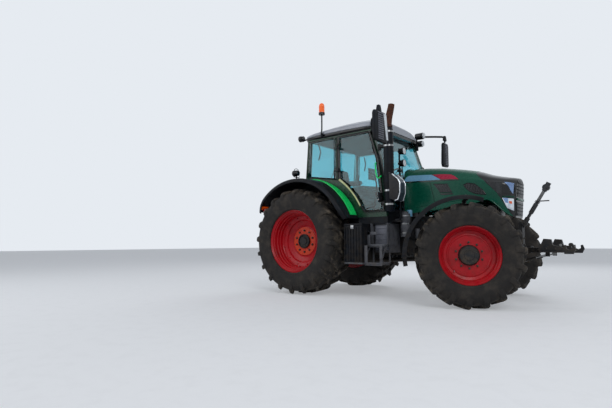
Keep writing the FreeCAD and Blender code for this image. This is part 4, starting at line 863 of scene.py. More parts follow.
@dataclass
class RearFender:
    """A rear fender: black flare, green strip with painted sunlight in its colour, and inner wall,
    with its lamp.
    """

    side: Side
    centre: Point = (0.03, 0.92)
    radius: float = 1.15

    def ring(self, angle: float, section: Sequence[Point]) -> list[Point]:
        """Turns (|y|, radius) points into the section at an angle in degrees."""
        turn = math.radians(angle)
        return [(self.centre[0] + reach * math.cos(turn), across * self.side.value,
                 self.centre[1] + reach * math.sin(turn)) for across, reach in section]

    def flare(self, angle: float) -> list[Point]:
        """Section of the black flare: a flat crown, a round shoulder and a deep lip."""
        ends = min(max((angle - 20) / 14, 0), max((149 - angle) / 18, 0), 1.0)
        out = 1.27 - 0.1 * (1 - ends) ** 2
        radius = self.radius
        return [(0.602, radius - 0.33), (0.602, radius - 0.006), (0.61, radius), (0.94, radius),
                (0.965, radius - 0.004), (out - 0.06, radius - 0.006),
                (out - 0.025, radius - 0.014), (out - 0.008, radius - 0.03), (out, radius - 0.055),
                (out - 0.004, radius - 0.078), (out - 0.014, radius - 0.08),
                (out - 0.02, radius - 0.05), (out - 0.045, radius - 0.03),
                (out - 0.08, radius - 0.022), (0.7, radius - 0.016), (0.618, radius - 0.018),
                (0.616, radius - 0.33)]

    def build(self) -> None:
        """All pieces of the fender."""
        way = self.side.value
        shape = Shape(f"rear_fender_{self.side.word}_flare")
        steps = 48
        angles = [20 + 129 * step / steps for step in range(steps + 1)]
        shape.lofted([self.ring(angle, self.flare(angle)) for angle in angles], BLACK_PLASTIC)
        # The strip is pointed at its rear end, high on the fender, and broad at the front; its
        # bright green is painted sunlight on green paint
        rings = []
        for step in range(31):
            share = step / 30
            angle = 84 - 61 * share
            wide = 0.012 + 0.168 * min(share * 1.6, 1.0) ** 0.8
            low, high = 0.85, 0.85 + wide
            rings.append(self.ring(angle, [
                (low, 1.151), (low, 1.163), (low + 0.006, 1.169), (high - 0.012, 1.168),
                (high - 0.002, 1.163), (high, 1.151)]))
        shape.lofted(rings, PAINTED_SUNLIT_GREEN)
        lamp_z, lamp_y = 2.2, 1.01 * way
        shape.bar((-0.11, lamp_y, 2.05), (-0.11, lamp_y, 2.15), 0.013, BLACK_PLASTIC, 14)
        shape.turned([(0.0, 0.0), (0.035, 0.0), (0.048, 0.01), (0.055, 0.04), (0.055, 0.12),
                      (0.05, 0.125), (0.0, 0.122)], GLOSS_BLACK,
                     aim((-0.055, lamp_y, lamp_z), (-0.18, lamp_y, lamp_z)), 36)
        shape.turned([(0.0, 0.119), (0.047, 0.123), (0.03, 0.1265), (0.0, 0.1275)], LAMP_FACE,
                     aim((-0.055, lamp_y, lamp_z), (-0.18, lamp_y, lamp_z)), 36)
        shape.swept([(-0.11, lamp_y - 0.075, 2.12), (-0.11, lamp_y - 0.08, 2.2),
                     (-0.11, lamp_y - 0.05, 2.272), (-0.11, lamp_y, 2.285),
                     (-0.11, lamp_y + 0.05, 2.272), (-0.11, lamp_y + 0.08, 2.2),
                     (-0.11, lamp_y + 0.075, 2.12)], 0.005, BLACK_PLASTIC, 8)
        shape.bar((-0.11, lamp_y - 0.078, 2.125), (-0.11, lamp_y + 0.078, 2.125), 0.008,
                  BLACK_PLASTIC, 10)
        for height, finish in ((0.99, RED_LENS), (1.05, AMBER)):
            spot = self.ring(141, [(1.1, height)])[0]
            shape.cuboid((spot[0] - 0.1, min((1.03 * way, 1.16 * way)), spot[2] - 0.03),
                         (spot[0] - 0.03, max((1.03 * way, 1.16 * way)), spot[2] + 0.03),
                         finish, 0.006)
        shape.finish("chassis", "black_plastic", [f"rear_fender_{self.side.word}"])


# Hood


def smooth_row(table: Sequence[Sequence[float]], place: float) -> list[float]:
    """Reads a table of sizes between its rows, without a kink at a row.

    Args:
        table: rows that start with their place and go up.
        place: where to read it.

    Returns:
        The sizes at that place, without the place itself.
    """
    last = len(table) - 1
    place = min(max(place, table[0][0]), table[last][0])
    index = 0
    while index < last - 1 and place > table[index + 1][0]:
        index += 1
    near, far = table[index], table[index + 1]
    run = far[0] - near[0]
    share = (place - near[0]) / run

    def slope(row: int, column: int) -> float:
        """How fast a size changes at one of the rows."""
        low, high = table[max(row - 1, 0)], table[min(row + 1, last)]
        return (high[column] - low[column]) / (high[0] - low[0])

    square, cube = share ** 2, share ** 3
    sizes = []
    for column in range(1, len(near)):
        leave, reach = slope(index, column) * run, slope(index + 1, column) * run
        sizes.append(near[column] * (2 * cube - 3 * square + 1) + far[column]
                     * (3 * square - 2 * cube) + leave * (cube - 2 * square + share)
                     + reach * (cube - square))
    return sizes


def along(points: Sequence[Point], share: float) -> list[float]:
    """A point on a line of runs, by its share of the whole length."""
    runs = list(zip(points, points[1:]))
    left = share * sum(math.dist(start, end) for start, end in runs)
    for start, end in runs:
        run = math.dist(start, end)
        if left <= run or end is points[-1]:
            part = min(left / run, 1.0)
            return [a + (b - a) * part for a, b in zip(start, end)]
        left -= run
    return list(points[-1])


@dataclass
class Hood:
    """The sloping hood: green panels, a black nose with mesh and lamps, stripes and vents.

    A place on its skin has a station along X and a share of the section, which goes from 0 at
    the lower edge over 1 at the crease and 1.5 at the shoulder to 2 in the middle of the top.
    """

    # Columns: station, lower edge, crease, half width, shoulder, top, lean of the nose
    rows: tuple[tuple[float, ...], ...] = (
        (1.765, 1.385, 1.935, 0.415, 2.105, 2.175, 0.0),
        (2.19, 1.418, 1.92, 0.417, 2.085, 2.153, 0.0),
        (2.6, 1.45, 1.9, 0.418, 2.025, 2.092, 0.0),
        (2.97, 1.508, 1.842, 0.408, 1.942, 2.01, 0.0),
        (3.14, 1.535, 1.8, 0.4, 1.885, 1.945, 0.0),
        (3.34, 1.365, 1.768, 0.372, 1.838, 1.893, 0.015),
        (3.43, 1.298, 1.752, 0.315, 1.822, 1.876, 0.03),
        (3.492, 1.262, 1.742, 0.205, 1.81, 1.862, 0.045))
    # Columns: share of the section, station at which the black nose starts
    nose_rows: tuple[tuple[float, float], ...] = (
        (0.0, 3.47), (0.1, 3.425), (0.25, 3.36), (0.42, 3.305), (0.56, 3.25), (0.7, 3.18),
        (0.86, 3.13), (1.0, 3.09), (1.2, 3.02), (1.5, 2.95), (2.0, 2.92))
    shares: tuple[float, ...] = (
        0.0, 0.06, 0.14, 0.25, 0.4, 0.55, 0.7, 0.84, 0.94, 0.985, 1.0, 1.015, 1.06, 1.14, 1.25,
        1.38, 1.5, 1.62, 1.75, 1.88)
    wall: float = 0.014

    def skin(self, place: float, share: float, way: int) -> Vector:
        """A point of the outer skin."""
        low, crease, wide, shoulder, top, lean = smooth_row(self.rows, place)
        across, height = smooth_row((
            (0.0, wide, low), (0.5, wide + 0.006, (low + crease) / 2),
            (1.0, wide + 0.004, crease), (1.02, wide - 0.001, crease + 0.008),
            (1.25, wide * 0.9 + 0.002, crease + (shoulder - crease) * 0.52),
            (1.5, wide * 0.8, shoulder), (1.75, wide * 0.47, shoulder + (top - shoulder) * 0.74),
            (2.0, 0.0, top), (2.25, -wide * 0.47, shoulder + (top - shoulder) * 0.74)), share)
        return Vector((place - lean * (top - height) / (top - low), across * way, height))

    def spot(self, place: float, share: float, way: int, lift: float) -> Vector:
        """A point a little above or below the skin.

        Args:
            place: the station.
            share: the share of the section.
            way: 1 for the left side, -1 for the right.
            lift: how far out from the skin.

        Returns:
            The point, moved along the skin's own normal.
        """
        step = 0.006
        ahead = self.skin(place + step, share, way) - self.skin(place - step, share, way)
        up = self.skin(place, share + step, way) - self.skin(place, share - step, way)
        out = ahead.cross(up).normalized() * -way
        return self.skin(place, share, way) + out * lift

    def share_at(self, place: float, height: float) -> float:
        """The share of the section at which the skin has a height."""
        low, high = 0.0, 2.0
        for _ in range(24):
            middle = (low + high) / 2
            if self.skin(place, middle, 1).z < height:
                low = middle
            else:
                high = middle
        return low

    def nose_line(self, share: float) -> float:
        """The station at which the green ends and the black nose starts."""
        return smooth_row(self.nose_rows, share)[0]

    def whole(self) -> list[tuple[float, int]]:
        """The section's places from the right lower edge over the top to the left one."""
        right = [(share, -1) for share in self.shares]
        return right + [(2.0, -1)] + [(share, 1) for share in self.shares[::-1]]

    def shell(self, shape: Shape, green: bool, steps: int, lift: float, finish: Finish) -> None:
        """Adds the green shell or the black one in front of it.

        Args:
            shape: the piece that gets it.
            green: whether it is the green one.
            steps: stations along it.
            lift: how far out from the skin it lies.
            finish: its finish.
        """
        rings = []
        for step in range(steps + 1):
            outer, inner = [], []
            for share, way in self.whole():
                line = self.nose_line(share)
                start, end = (self.rows[0][0], line) if green else (line, self.rows[-1][0])
                place = start + (end - start) * step / steps
                outer.append(self.spot(place, share, way, lift))
                inner.append(self.spot(place, share, way, lift - self.wall))
            rings.append(outer + inner[::-1])
        shape.lofted(rings, finish)

    def patch(self, shape: Shape, upper: Sequence[Point], lower: Sequence[Point],
              finish: Finish, lift: float = 0.003, steps: int = 26, rows: int = 8) -> None:
        """Adds a thin panel that follows the skin, on both sides of the hood.

        Args:
            shape: the piece that gets it.
            upper: its upper edge as (station, height) points.
            lower: its lower edge, from the same end.
            finish: its finish.
            lift: how far it stands proud.
            steps: stations along it.
            rows: faces across it.
        """
        for way in (1, -1):
            rings = []
            for step in range(steps + 1):
                top, bottom = along(upper, step / steps), along(lower, step / steps)
                outer, inner = [], []
                for row in range(rows + 1):
                    part = row / rows
                    place = top[0] + (bottom[0] - top[0]) * part
                    height = top[1] + (bottom[1] - top[1]) * part
                    share = self.share_at(place, height)
                    outer.append(self.spot(place, share, way, lift))
                    inner.append(self.spot(place, share, way, lift - 0.008))
                rings.append(outer + inner[::-1])
            shape.lofted(rings, finish)

    def louvre(self, shape: Shape, upper: Sequence[Point], lower: Sequence[Point],
               slats: int) -> None:
        """Adds a vent: a black frame, mesh sunk into it and slanted slats across."""
        self.patch(shape, upper, lower, GRILLE_MESH, 0.0025)
        for slat in range(slats):
            share = (slat + 0.5) / slats
            top, bottom = along(upper, share), along(lower, share)
            near, far = along(upper, share + 0.03), along(lower, share + 0.03)
            self.patch(shape, [top, near], [bottom, far], GLOSS_BLACK, 0.007, 1, 8)
        edges = ((upper, 0.0), (lower, 0.0))
        for line, _ in edges:
            for way in (1, -1):
                path = [self.spot(*self.seat(point), way, 0.004)
                        for point in (along(line, step / 20) for step in range(21))]
                shape.swept(path, 0.005, GLOSS_BLACK, 8)

    def seat(self, point: Point) -> tuple[float, float]:
        """Station and share of the section of a (station, height) point."""
        return point[0], self.share_at(point[0], point[1])

    def seam(self, shape: Shape, line: Sequence[Point], radius: float, finish: Finish) -> None:
        """Adds a narrow bead along a line on both sides of the skin."""
        for way in (1, -1):
            path = [self.spot(*self.seat(along(line, step / 30)), way, radius * 0.2)
                    for step in range(31)]
            shape.swept(path, radius, finish, 8)

    def build(self) -> None:
        """The green panels and the nose."""
        shape = Shape("hood_panels")
        self.shell(shape, True, 44, 0.0, GREEN_ENAMEL)
        self.patch(shape, [(1.79, 1.965), (1.815, 2.006), (1.865, 2.025), (2.09, 2.012),
                           (2.25, 2.002)],
                   [(1.775, 1.93), (1.9, 1.921), (2.09, 1.912), (2.42, 1.9)], PALE_BLUE)
        self.patch(shape, [(2.262, 2.001), (2.45, 1.99), (2.568, 1.974), (2.634, 1.94)],
                   [(2.432, 1.899), (2.55, 1.893), (2.66, 1.884), (2.705, 1.88)], STRIPE_RED)
        self.patch(shape, [(1.775, 1.922), (2.3, 1.897), (2.72, 1.872)],
                   [(1.775, 1.906), (2.3, 1.882), (2.72, 1.864)], GLOSS_BLACK, 0.002, 30, 2)
        self.louvre(shape, [(2.3, 1.84), (2.53, 1.822)], [(2.4, 1.7), (2.6, 1.686)], 5)
        self.patch(shape, [(2.403, 1.68), (2.6, 1.672)], [(2.43, 1.652), (2.62, 1.65)],
                   GLOSS_BLACK)
        self.louvre(shape, [(2.775, 1.782), (2.84, 1.811), (2.949, 1.785), (3.053, 1.69),
                            (3.1, 1.624)],
                    [(2.79, 1.765), (2.851, 1.69), (2.943, 1.64), (3.04, 1.62), (3.104, 1.616)],
                    9)
        self.seam(shape, [(1.79, 1.47), (2.3, 1.51), (2.8, 1.565), (3.04, 1.6)], 0.005,
                  GREEN_ENAMEL)
        self.seam(shape, [(2.32, 1.42), (2.3, 1.6), (2.24, 1.88)], 0.003, SEAL_RUBBER)
        for way in (1, -1):
            rim = [self.spot(self.rows[0][0] + 0.004, share, way, 0.001)
                   for share in self.shares]
            shape.swept(rim, 0.009, SEAL_RUBBER, 8)
            edge = [self.spot(1.77 + 1.66 * step / 50, 0.0, way, 0.0) for step in range(51)]
            shape.swept(edge, 0.01, GREEN_ENAMEL, 8)
            for place in (1.86, 2.9):
                shape.cuboid((place - 0.03, 0.395 * way - 0.012, 1.4 + (place - 1.86) * 0.1),
                             (place + 0.03, 0.395 * way + 0.012, 1.45 + (place - 1.86) * 0.1),
                             BLACK_PLASTIC, 0.004)
        shape.finish("hood", "green_enamel", ["hood"])
        self.nose()

    def nose(self) -> None:
        """The black nose with its mesh, lamps and front."""
        shape = Shape("hood_nose_panel")
        self.shell(shape, False, 20, -0.004, GLOSS_BLACK)
        self.patch(shape, [(3.1, 1.83), (3.2, 1.79), (3.33, 1.765)],
                   [(3.2, 1.69), (3.26, 1.63), (3.325, 1.6)], GRILLE_MESH, 0.001)
        self.patch(shape, [(3.335, 1.785), (3.475, 1.76)], [(3.33, 1.62), (3.468, 1.6)],
                   GLOSS_BLACK, 0.001)
        # Upper lamp lens: blue with a painted sky reflection
        self.patch(shape, [(3.355, 1.78), (3.41, 1.774), (3.466, 1.764)],
                   [(3.425, 1.71), (3.43, 1.66), (3.46, 1.607)], PAINTED_SKY_LENS, 0.005, 20, 8)
        self.patch(shape, [(3.33, 1.55), (3.47, 1.535)], [(3.395, 1.4), (3.475, 1.36)], CHROME,
                   0.001)
        # Lower lamp lens: blue with a painted sky reflection
        self.patch(shape, [(3.34, 1.547), (3.405, 1.542)], [(3.375, 1.475), (3.41, 1.47)],
                   PAINTED_SKY_LENS, 0.004, 10, 4)
        self.patch(shape, [(3.42, 1.5), (3.45, 1.497)], [(3.424, 1.465), (3.45, 1.46)], AMBER,
                   0.006, 8, 3)
        for share in (0.0, 1.0):
            for way in (1, -1):
                rim = [self.spot(3.33 + 0.14 * step / 12, self.share_at(3.33 + 0.14 * step / 12,
                                                                        1.57 - 0.012 * share),
                                 way, 0.002) for step in range(13)]
                shape.swept(rim, 0.005, GREEN_ENAMEL, 8)
        end = self.rows[-1][0]
        outline = [self.spot(end, share, way, -0.004) for share, way in self.whole()]
        middle = Vector((end, 0, 1.56))
        inset = [middle + (point - middle) * 0.975 for point in outline]
        for point, source in zip(inset, outline):
            point.x = source.x + 0.007
        back = [point - Vector((0.03, 0, 0)) for point in outline]
        shape.lofted([back, outline, inset], GLOSS_BLACK)
        lean = 0.075
        front = Matrix(((1, 0, lean, end + 0.004 - lean * 1.862), (0, 1, 0, 0), (0, 0, 1, 0),
                        (0, 0, 0, 1)))
        shape.plate([(-0.165, 1.57), (0.165, 1.57), (0.15, 1.8), (0.08, 1.83), (-0.08, 1.83),
                     (-0.15, 1.8)], Axis.FRONT, 0.0, 0.006, GRILLE_MESH, 0.002, front)
        shape.plate([(-0.17, 1.29), (0.17, 1.29), (0.18, 1.5), (-0.18, 1.5)], Axis.FRONT, 0.0,
                    0.006, GRILLE_MESH, 0.002, front)
        for height in (1.31, 1.36, 1.41, 1.46, 1.62, 1.67, 1.72, 1.77):
            shape.plate([(-0.16, height), (0.16, height), (0.16, height + 0.012),
                         (-0.16, height + 0.012)], Axis.FRONT, 0.004, 0.012, BLACK_PLASTIC,
                        0.002, front)
        shape.plate([(-0.19, 1.52), (0.19, 1.52), (0.19, 1.555), (-0.19, 1.555)], Axis.FRONT,
                    0.0, 0.014, GREEN_ENAMEL, 0.005, front)
        shape.finish("hood", "grille_black", ["hood_nose"])


# Cab


@dataclass
class Cab:
    """Roof, door trim, grab bars, wipers and the driver's place."""

    roof_low: float = 2.82
    roof_half: float = 0.87
    # Columns: station, share of the half width, height of the edge and of the crown
    roof_rows: tuple[tuple[float, ...], ...] = (
        (-0.06, 0.9, 0.092, 0.14), (0.0, 0.95, 0.105, 0.175), (0.3, 1.0, 0.122, 0.22),
        (1.0, 1.0, 0.145, 0.262), (1.4, 0.95, 0.135, 0.24), (1.48, 0.86, 0.105, 0.2))
    fender_centre: Point = (0.03, 0.92)
    door_edge: float = 1.3
    hinge_x: float = 0.706
    wheel_place: Point = (1.345, 0.0, 2.12)
    wheel_tilt: float = 38.0

    def roof_ring(self, place: float, half: Sequence[Point], shrink: float = 0.0) -> list[Point]:
        """A section of the roof from (share of the half width, height) points.

        Args:
            place: the station.
            half: the left half of the section, from its lower edge to the middle.
            shrink: how much smaller the section is, for a rounded end.

        Returns:
            The whole section.
        """
        wide = smooth_row(self.roof_rows, place)[0] * self.roof_half - shrink
        left = [(place, across * wide, self.roof_low + height - shrink * min(height * 8, 1))
                for across, height in half]
        return left + [(x, -y, z) for x, y, z in left[::-1] if y > 0]

    def roof(self) -> None:
        """The pale shell, the dark band under its edge and the lining."""
        shape = Shape("cab_roof_shell")
        pale, dark = [], []
        first, last = self.roof_rows[0][0], self.roof_rows[-1][0]
        stations = [first + (last - first) * step / 36 for step in range(37)]
        ends = {0: 0.016, 1: 0.004, 35: 0.004, 36: 0.016}
        for index, place in enumerate(stations):
            _, edge, crown = smooth_row(self.roof_rows, place)
            rise = crown - edge
            shrink = ends.get(index, 0.0)
            pale.append(self.roof_ring(place, [
                (0.985, 0.058), (1.0, 0.066), (1.0, edge - 0.035), (0.992, edge - 0.018),
                (0.972, edge - 0.004), (0.94, edge + rise * 0.1), (0.84, edge + rise * 0.45),
                (0.7, edge + rise * 0.78), (0.5, edge + rise * 0.91), (0.25, edge + rise * 0.98),
                (0.0, crown)], shrink))
            dark.append(self.roof_ring(place, [(0.93, 0.0), (0.965, 0.006), (0.985, 0.03),
                                               (0.985, 0.07), (0.0, 0.07)], shrink))
        shape.lofted(pale, ROOF_GREY)
        shape.lofted(dark, GLOSS_BLACK)
        for across in (-0.42, 0.42):
            path = [(place, across, self.roof_low + self.crest(place, across) + 0.001)
                    for place in stations[4:-4]]
            shape.swept(path, 0.009, ROOF_GREY, 8)
        hatch = [(0.45, -0.3), (1.0, -0.3), (1.0, 0.3), (0.45, 0.3)]
        shape.lofted([[(x, y * grow, self.roof_low + self.crest(x, y * grow) + rise)
                       for x, y in hatch] for grow, rise in ((1.0, -0.01), (1.0, 0.008),
                                                             (0.95, 0.014))], ROOF_GREY)
        shape.cuboid((0.09, -0.79, 2.785), (1.36, 0.79, 2.822), LINER, 0.01)
        for side in Side:
            shape.bar((0.55, 0.45 * side.value, 2.775), (0.55, 0.45 * side.value, 2.79), 0.05,
                      BLACK_PLASTIC, 24)
        shape.finish("chassis", "roof_grey", ["cab_roof"])

    def crest(self, place: float, across: float) -> float:
        """Height of the roof's skin above its underside."""
        wide, edge, crown = smooth_row(self.roof_rows, place)
        share = min(abs(across) / (wide * self.roof_half), 0.94)
        return edge + (crown - edge) * (1 - share ** 2.6)

    def door_line(self, radius: float, first: float, last: float, steps: int) -> list[Point]:
        """Points on the door's curved lower edge, about the fender's centre."""
        return arc(self.fender_centre, radius, first, last, steps)

    def door(self, side: Side) -> None:
        """Seals, handles, hinge covers and trim of a door, with a painted sun highlight along its
        lower edge and painted sunlit green at its front edge.
        """
        way = side.value
        shape = Shape(f"door_trim_{side.word}")
        face = 0.9
        curve = self.door_line(self.door_edge + 0.02, 56, 28, 24)
        loop = (curve + [(1.27, 1.43), (1.62, 1.43), (1.527, 2.29), (1.378, 2.772),
                         (0.738, 2.772)])
        path = [(x, face * way, z) for x, z in loop + loop[:1]]
        shape.swept(path, 0.008, SEAL_RUBBER, 8)
        # Pale yellow strip along the lower curve: a painted sun highlight, not a real part
        trim = [(x, (face + 0.003) * way, z) for x, z in self.door_line(1.322, 55, 27, 28)]
        shape.swept(trim, 0.019, PAINTED_SUN_GLINT_STRIP, 10, end_radius=0.012)
        # Short bar at the door's front edge in the green with painted sunlight
        shape.swept([(1.533, 0.9 * way, 2.213), (1.536, 0.945 * way, 2.2),
                     (1.55, 0.95 * way, 2.03), (1.575, 0.95 * way, 1.95),
                     (1.6, 0.945 * way, 1.945), (1.615, 0.9 * way, 1.99)], 0.011, PAINTED_SUNLIT_GREEN,
                    10)
        shape.cuboid((1.566, min(0.888 * way, 0.94 * way), 1.556),
                     (1.598, max(0.888 * way, 0.94 * way), 1.724), BLACK_PLASTIC, 0.008)
        shape.bar((1.582, 0.93 * way, 1.6), (1.582, 0.946 * way, 1.6), 0.012, BRIGHT_STEEL, 20)
        for level in (2.15, 2.55):
            shape.cuboid((0.715, min(0.888 * way, 0.91 * way), level + 0.004),
                         (0.8, max(0.888 * way, 0.91 * way), level + 0.036), BLACK_PLASTIC, 0.006)
        shape.swept([(1.3, face * way * 0.93, 1.47), (1.45, 0.83 * way, 1.5),
                     (1.5, 0.83 * way, 1.75), (1.47, 0.83 * way, 2.0)], 0.012, BLACK_PLASTIC, 10)
        shape.finish(f"door_{side.word}", "black_plastic")

    def fixed_trim(self) -> None:
        """Seals of the fixed panes, wipers, grab rails and posts' covers."""
        shape = Shape("cab_fixed_trim")
        for side in Side:
            way = side.value
            pane = [(0.668, 2.03), (0.668, 2.775), (0.08, 2.775), (0.045, 2.125)]
            shape.swept([(x, 0.884 * way, z) for x, z in pane + pane[:1]], 0.009, SEAL_RUBBER, 8)
            shape.swept([(0.25, 0.8 * way, 2.72), (0.262, 0.79 * way, 2.69),
                         (0.29, 0.785 * way, 2.58), (0.262, 0.79 * way, 2.46),
                         (0.25, 0.8 * way, 2.43)], 0.013, BLACK_PLASTIC, 10)
            shape.swept([(1.66, 0.82 * way, 1.5), (1.7, 0.86 * way, 1.55),
                         (1.62, 0.87 * way, 2.1), (1.55, 0.86 * way, 2.35),
                         (1.52, 0.82 * way, 2.38)], 0.014, BLACK_PLASTIC, 10)
        for across, top in ((-0.3, 2.05), (0.3, 2.05)):
            shape.swept([(1.67, across, 1.5), (1.675, across + 0.1, 1.62),
                         (1.635, across + 0.18, top)], 0.009, BLACK_PLASTIC, 8)
            shape.plate([(across + 0.17, 1.75), (across + 0.19, 1.75), (across + 0.19, 2.25),
                         (across + 0.17, 2.25)], Axis.FRONT, 0.0, 0.012, SEAL_RUBBER, 0.002,
                        Matrix(((1, 0, -0.107, 1.83), (0, 1, 0, 0), (0, 0, 1, 0),
                                (0, 0, 0, 1))))
        shape.swept([(0.0, -0.12, 2.12), (0.02, 0.0, 2.35), (0.045, 0.1, 2.6)], 0.008,
                    SEAL_RUBBER, 8)
        shape.finish("chassis", "black_plastic")

    def driver_place(self) -> None:
        """Steering wheel, column cover, display, levers, pedals and arm rest."""
        shape = Shape("steering_wheel_rim")
        place = (Matrix.Translation(self.wheel_place)
                 @ Matrix.Rotation(math.radians(-self.wheel_tilt), 4, "Y"))
        ring = [(0.19 + 0.014 * math.cos(a), 0.014 * math.sin(a))
                for a in (2 * math.pi * step / 14 for step in range(15))]
        shape.turned(ring, BLACK_PLASTIC, place, 56)
        shape.turned([(0.0, -0.008), (0.046, -0.008), (0.048, 0.0), (0.044, 0.012),
                      (0.03, 0.018), (0.0, 0.02)], GLOSS_BLACK, place, 36)
        for angle in (0, 125, 235):
            turn = place @ Matrix.Rotation(math.radians(angle), 4, "Z")
            shape.lofted([[(reach, -wide, -0.005), (reach, wide, -0.005), (reach, wide, 0.005),
                           (reach, -wide, 0.005)] for reach, wide in
                          ((0.035, 0.018), (0.09, 0.01), (0.18, 0.014))], BRIGHT_STEEL, turn)
        shape.bar((0.0, 0.19, 0.012), (0.0, 0.19, 0.05), 0.02, BLACK_PLASTIC, 20, 0.006,
                  place=place)
        shape.finish("chassis", "black_plastic", ["steering_wheel"])
        shape = Shape("driver_controls")
        shape.plate([(1.36, 2.03), (1.44, 2.07), (1.56, 1.96), (1.53, 1.92), (1.44, 2.0)],
                    Axis.SIDE, -0.17, 0.17, BLACK_PLASTIC, 0.008)
        shape.cuboid((1.475, -0.1, 2.03), (1.495, 0.1, 2.13), GLOSS_BLACK, 0.006)
        shape.plate([(0.4, 1.98), (0.82, 1.95), (0.88, 1.99), (0.86, 2.04), (0.42, 2.05)],
                    Axis.SIDE, -0.38, -0.28, BLACK_PLASTIC, 0.015)
        shape.bar((0.8, -0.33, 2.03), (0.83, -0.33, 2.15), 0.022, BLACK_PLASTIC, 20, 0.006,
                  0.016)
        shape.plate([(0.35, 1.33), (0.85, 1.33), (0.82, 1.72), (0.7, 1.8), (0.4, 1.78)],
                    Axis.SIDE, -0.72, -0.42, LINER, 0.02)
        for place_x, across in ((0.5, -0.5), (0.6, -0.58), (0.7, -0.5)):
            shape.bar((place_x, across, 1.76), (place_x + 0.03, across, 1.92), 0.009,
                      BRIGHT_STEEL, 12)
            # The middle knob takes the amber lens finish, so it has a faint painted glow though it
            # is no lamp
            shape.bar((place_x + 0.028, across, 1.9), (place_x + 0.036, across, 1.96), 0.02,
                      AMBER if place_x == 0.6 else GLOSS_BLACK, 16, 0.006)
        shape.cuboid((1.2, -0.62, 2.0), (1.23, -0.4, 2.2), GLOSS_BLACK, 0.008)
        shape.bar((1.22, -0.5, 2.1), (1.3, -0.76, 2.1), 0.012, BLACK_PLASTIC, 12)
        for across in (-0.26, -0.19, 0.22):
            shape.cuboid((1.3, across - 0.03, 1.4), (1.34, across + 0.03, 1.5), CAST_GREY, 0.006)
            shape.bar((1.33, across, 1.45), (1.45, across, 1.36), 0.01, CAST_GREY, 12)
        shape.cuboid((0.2, -0.7, 1.331), (1.6, 0.7, 1.345), LINER, 0.004)
        shape.finish("chassis", "black_plastic")

    def pad(self, name: str, low: Point, high: Point, place: Matrix, crown: float,
            channels: Sequence[float]) -> None:
        """A crowned seat pad with sewn channels and piping.

        Args:
            name: its name.
            low: its lowest corner before it is turned into place.
            high: its highest corner.
            place: where it goes.
            crown: how far its upper face bulges.
            channels: places of the sewn channels across, as shares of the half width.
        """
        part = bmesh.new()
        low, high = Vector(low), Vector(high)
        half = (high - low) / 2
        bmesh.ops.create_cube(part, size=2)
        bmesh.ops.subdivide_edges(part, edges=part.edges[:], cuts=15, use_grid_fill=True)
        for vert in part.verts:
            x, y, z = vert.co
            pull = 1 - 0.035 * (1 - x * x) * (abs(y) > 0.99) - 0.035 * (1 - y * y) * (abs(x) > 0.99)
            round_x = math.copysign(abs(x) ** 1.0, x) * math.sqrt(1 - 0.09 * y * y * z * z)
            round_y = y * math.sqrt(1 - 0.09 * x * x * z * z)
            swell = crown * max(1 - x ** 4, 0) * max(1 - y ** 4, 0) if z > 0 else 0.0
            groove = sum(math.exp(-((y - at) / 0.045) ** 2) for at in channels) * 0.011
            edge = 0.02 * max(abs(x) ** 8, abs(y) ** 8) * abs(z)
            vert.co = Vector((round_x * pull * half.x, round_y * pull * half.y,
                              z * half.z - math.copysign(edge, z)
                              + (swell - groove if z > 0.9 else 0.0)))
        for _ in range(3):
            bmesh.ops.smooth_vert(part, verts=part.verts, factor=0.5, use_axis_x=True,
                                  use_axis_y=True, use_axis_z=True)
        bmesh.ops.translate(part, vec=(low + high) / 2, verts=part.verts)
        shape = Shape(name)
        shape.add(part, SEAT_CLOTH, place)
        rim = [(low.x + 0.03, low.y + 0.03), (high.x - 0.03, low.y + 0.03),
               (high.x - 0.03, high.y - 0.03), (low.x + 0.03, high.y - 0.03)]
        shape.swept([(*point, (low.z + high.z) / 2) for point in rim + rim[:1]], 0.006,
                    SEAL_RUBBER, 8, place)
        shape.finish("chassis", "seat_cloth")

    def seat(self) -> None:
        """The suspended seat with its two pads and its shell."""
        shape = Shape("seat_base_shell")
        shape.lofted([[(x - wide, -side, z), (x + wide, -side, z), (x + wide, side, z),
                       (x - wide, side, z)] for x, wide, side, z in
                      ((0.57, 0.12, 0.15, 1.33), (0.57, 0.115, 0.14, 1.36),
                       (0.57, 0.07, 0.12, 1.5), (0.57, 0.075, 0.13, 1.64),
                       (0.58, 0.2, 0.2, 1.655), (0.59, 0.21, 0.21, 1.675))], BLACK_PLASTIC)
        for fold in range(6):
            height = 1.4 + fold * 0.035
            shape.cuboid((0.475, -0.145, height), (0.665, 0.145, height + 0.018), SEAL_RUBBER,
                         0.006)
        shape.plate([(0.33, 1.7), (0.25, 1.73), (0.2, 2.05), (0.172, 2.34), (0.19, 2.35),
                     (0.225, 2.06), (0.275, 1.75), (0.35, 1.72)], Axis.SIDE, -0.2, 0.2,
                    BLACK_PLASTIC, 0.008)
        shape.finish("chassis", "seat_cloth", ["seat"])
        self.pad("seat_cushion", (0.33, -0.25, 1.675), (0.84, 0.25, 1.775), Matrix.Identity(4),
                 0.02, (-0.45, 0.45))
        lean = (Matrix.Translation((0.275, 0, 1.75)) @ Matrix.Rotation(math.radians(-98), 4, "Y")
                @ Matrix.Diagonal((1, 1, -1, 1)))
        self.pad("seat_back_rest", (0.0, -0.235, -0.05), (0.6, 0.235, 0.045), lean, 0.018,
                 (-0.45, 0.45))

    def build(self) -> None:
        """All pieces of the cab."""
        self.roof()
        self.fixed_trim()
        for side in Side:
            self.door(side)
        self.driver_place()
        self.seat()


# Exhaust, mirrors, lamps


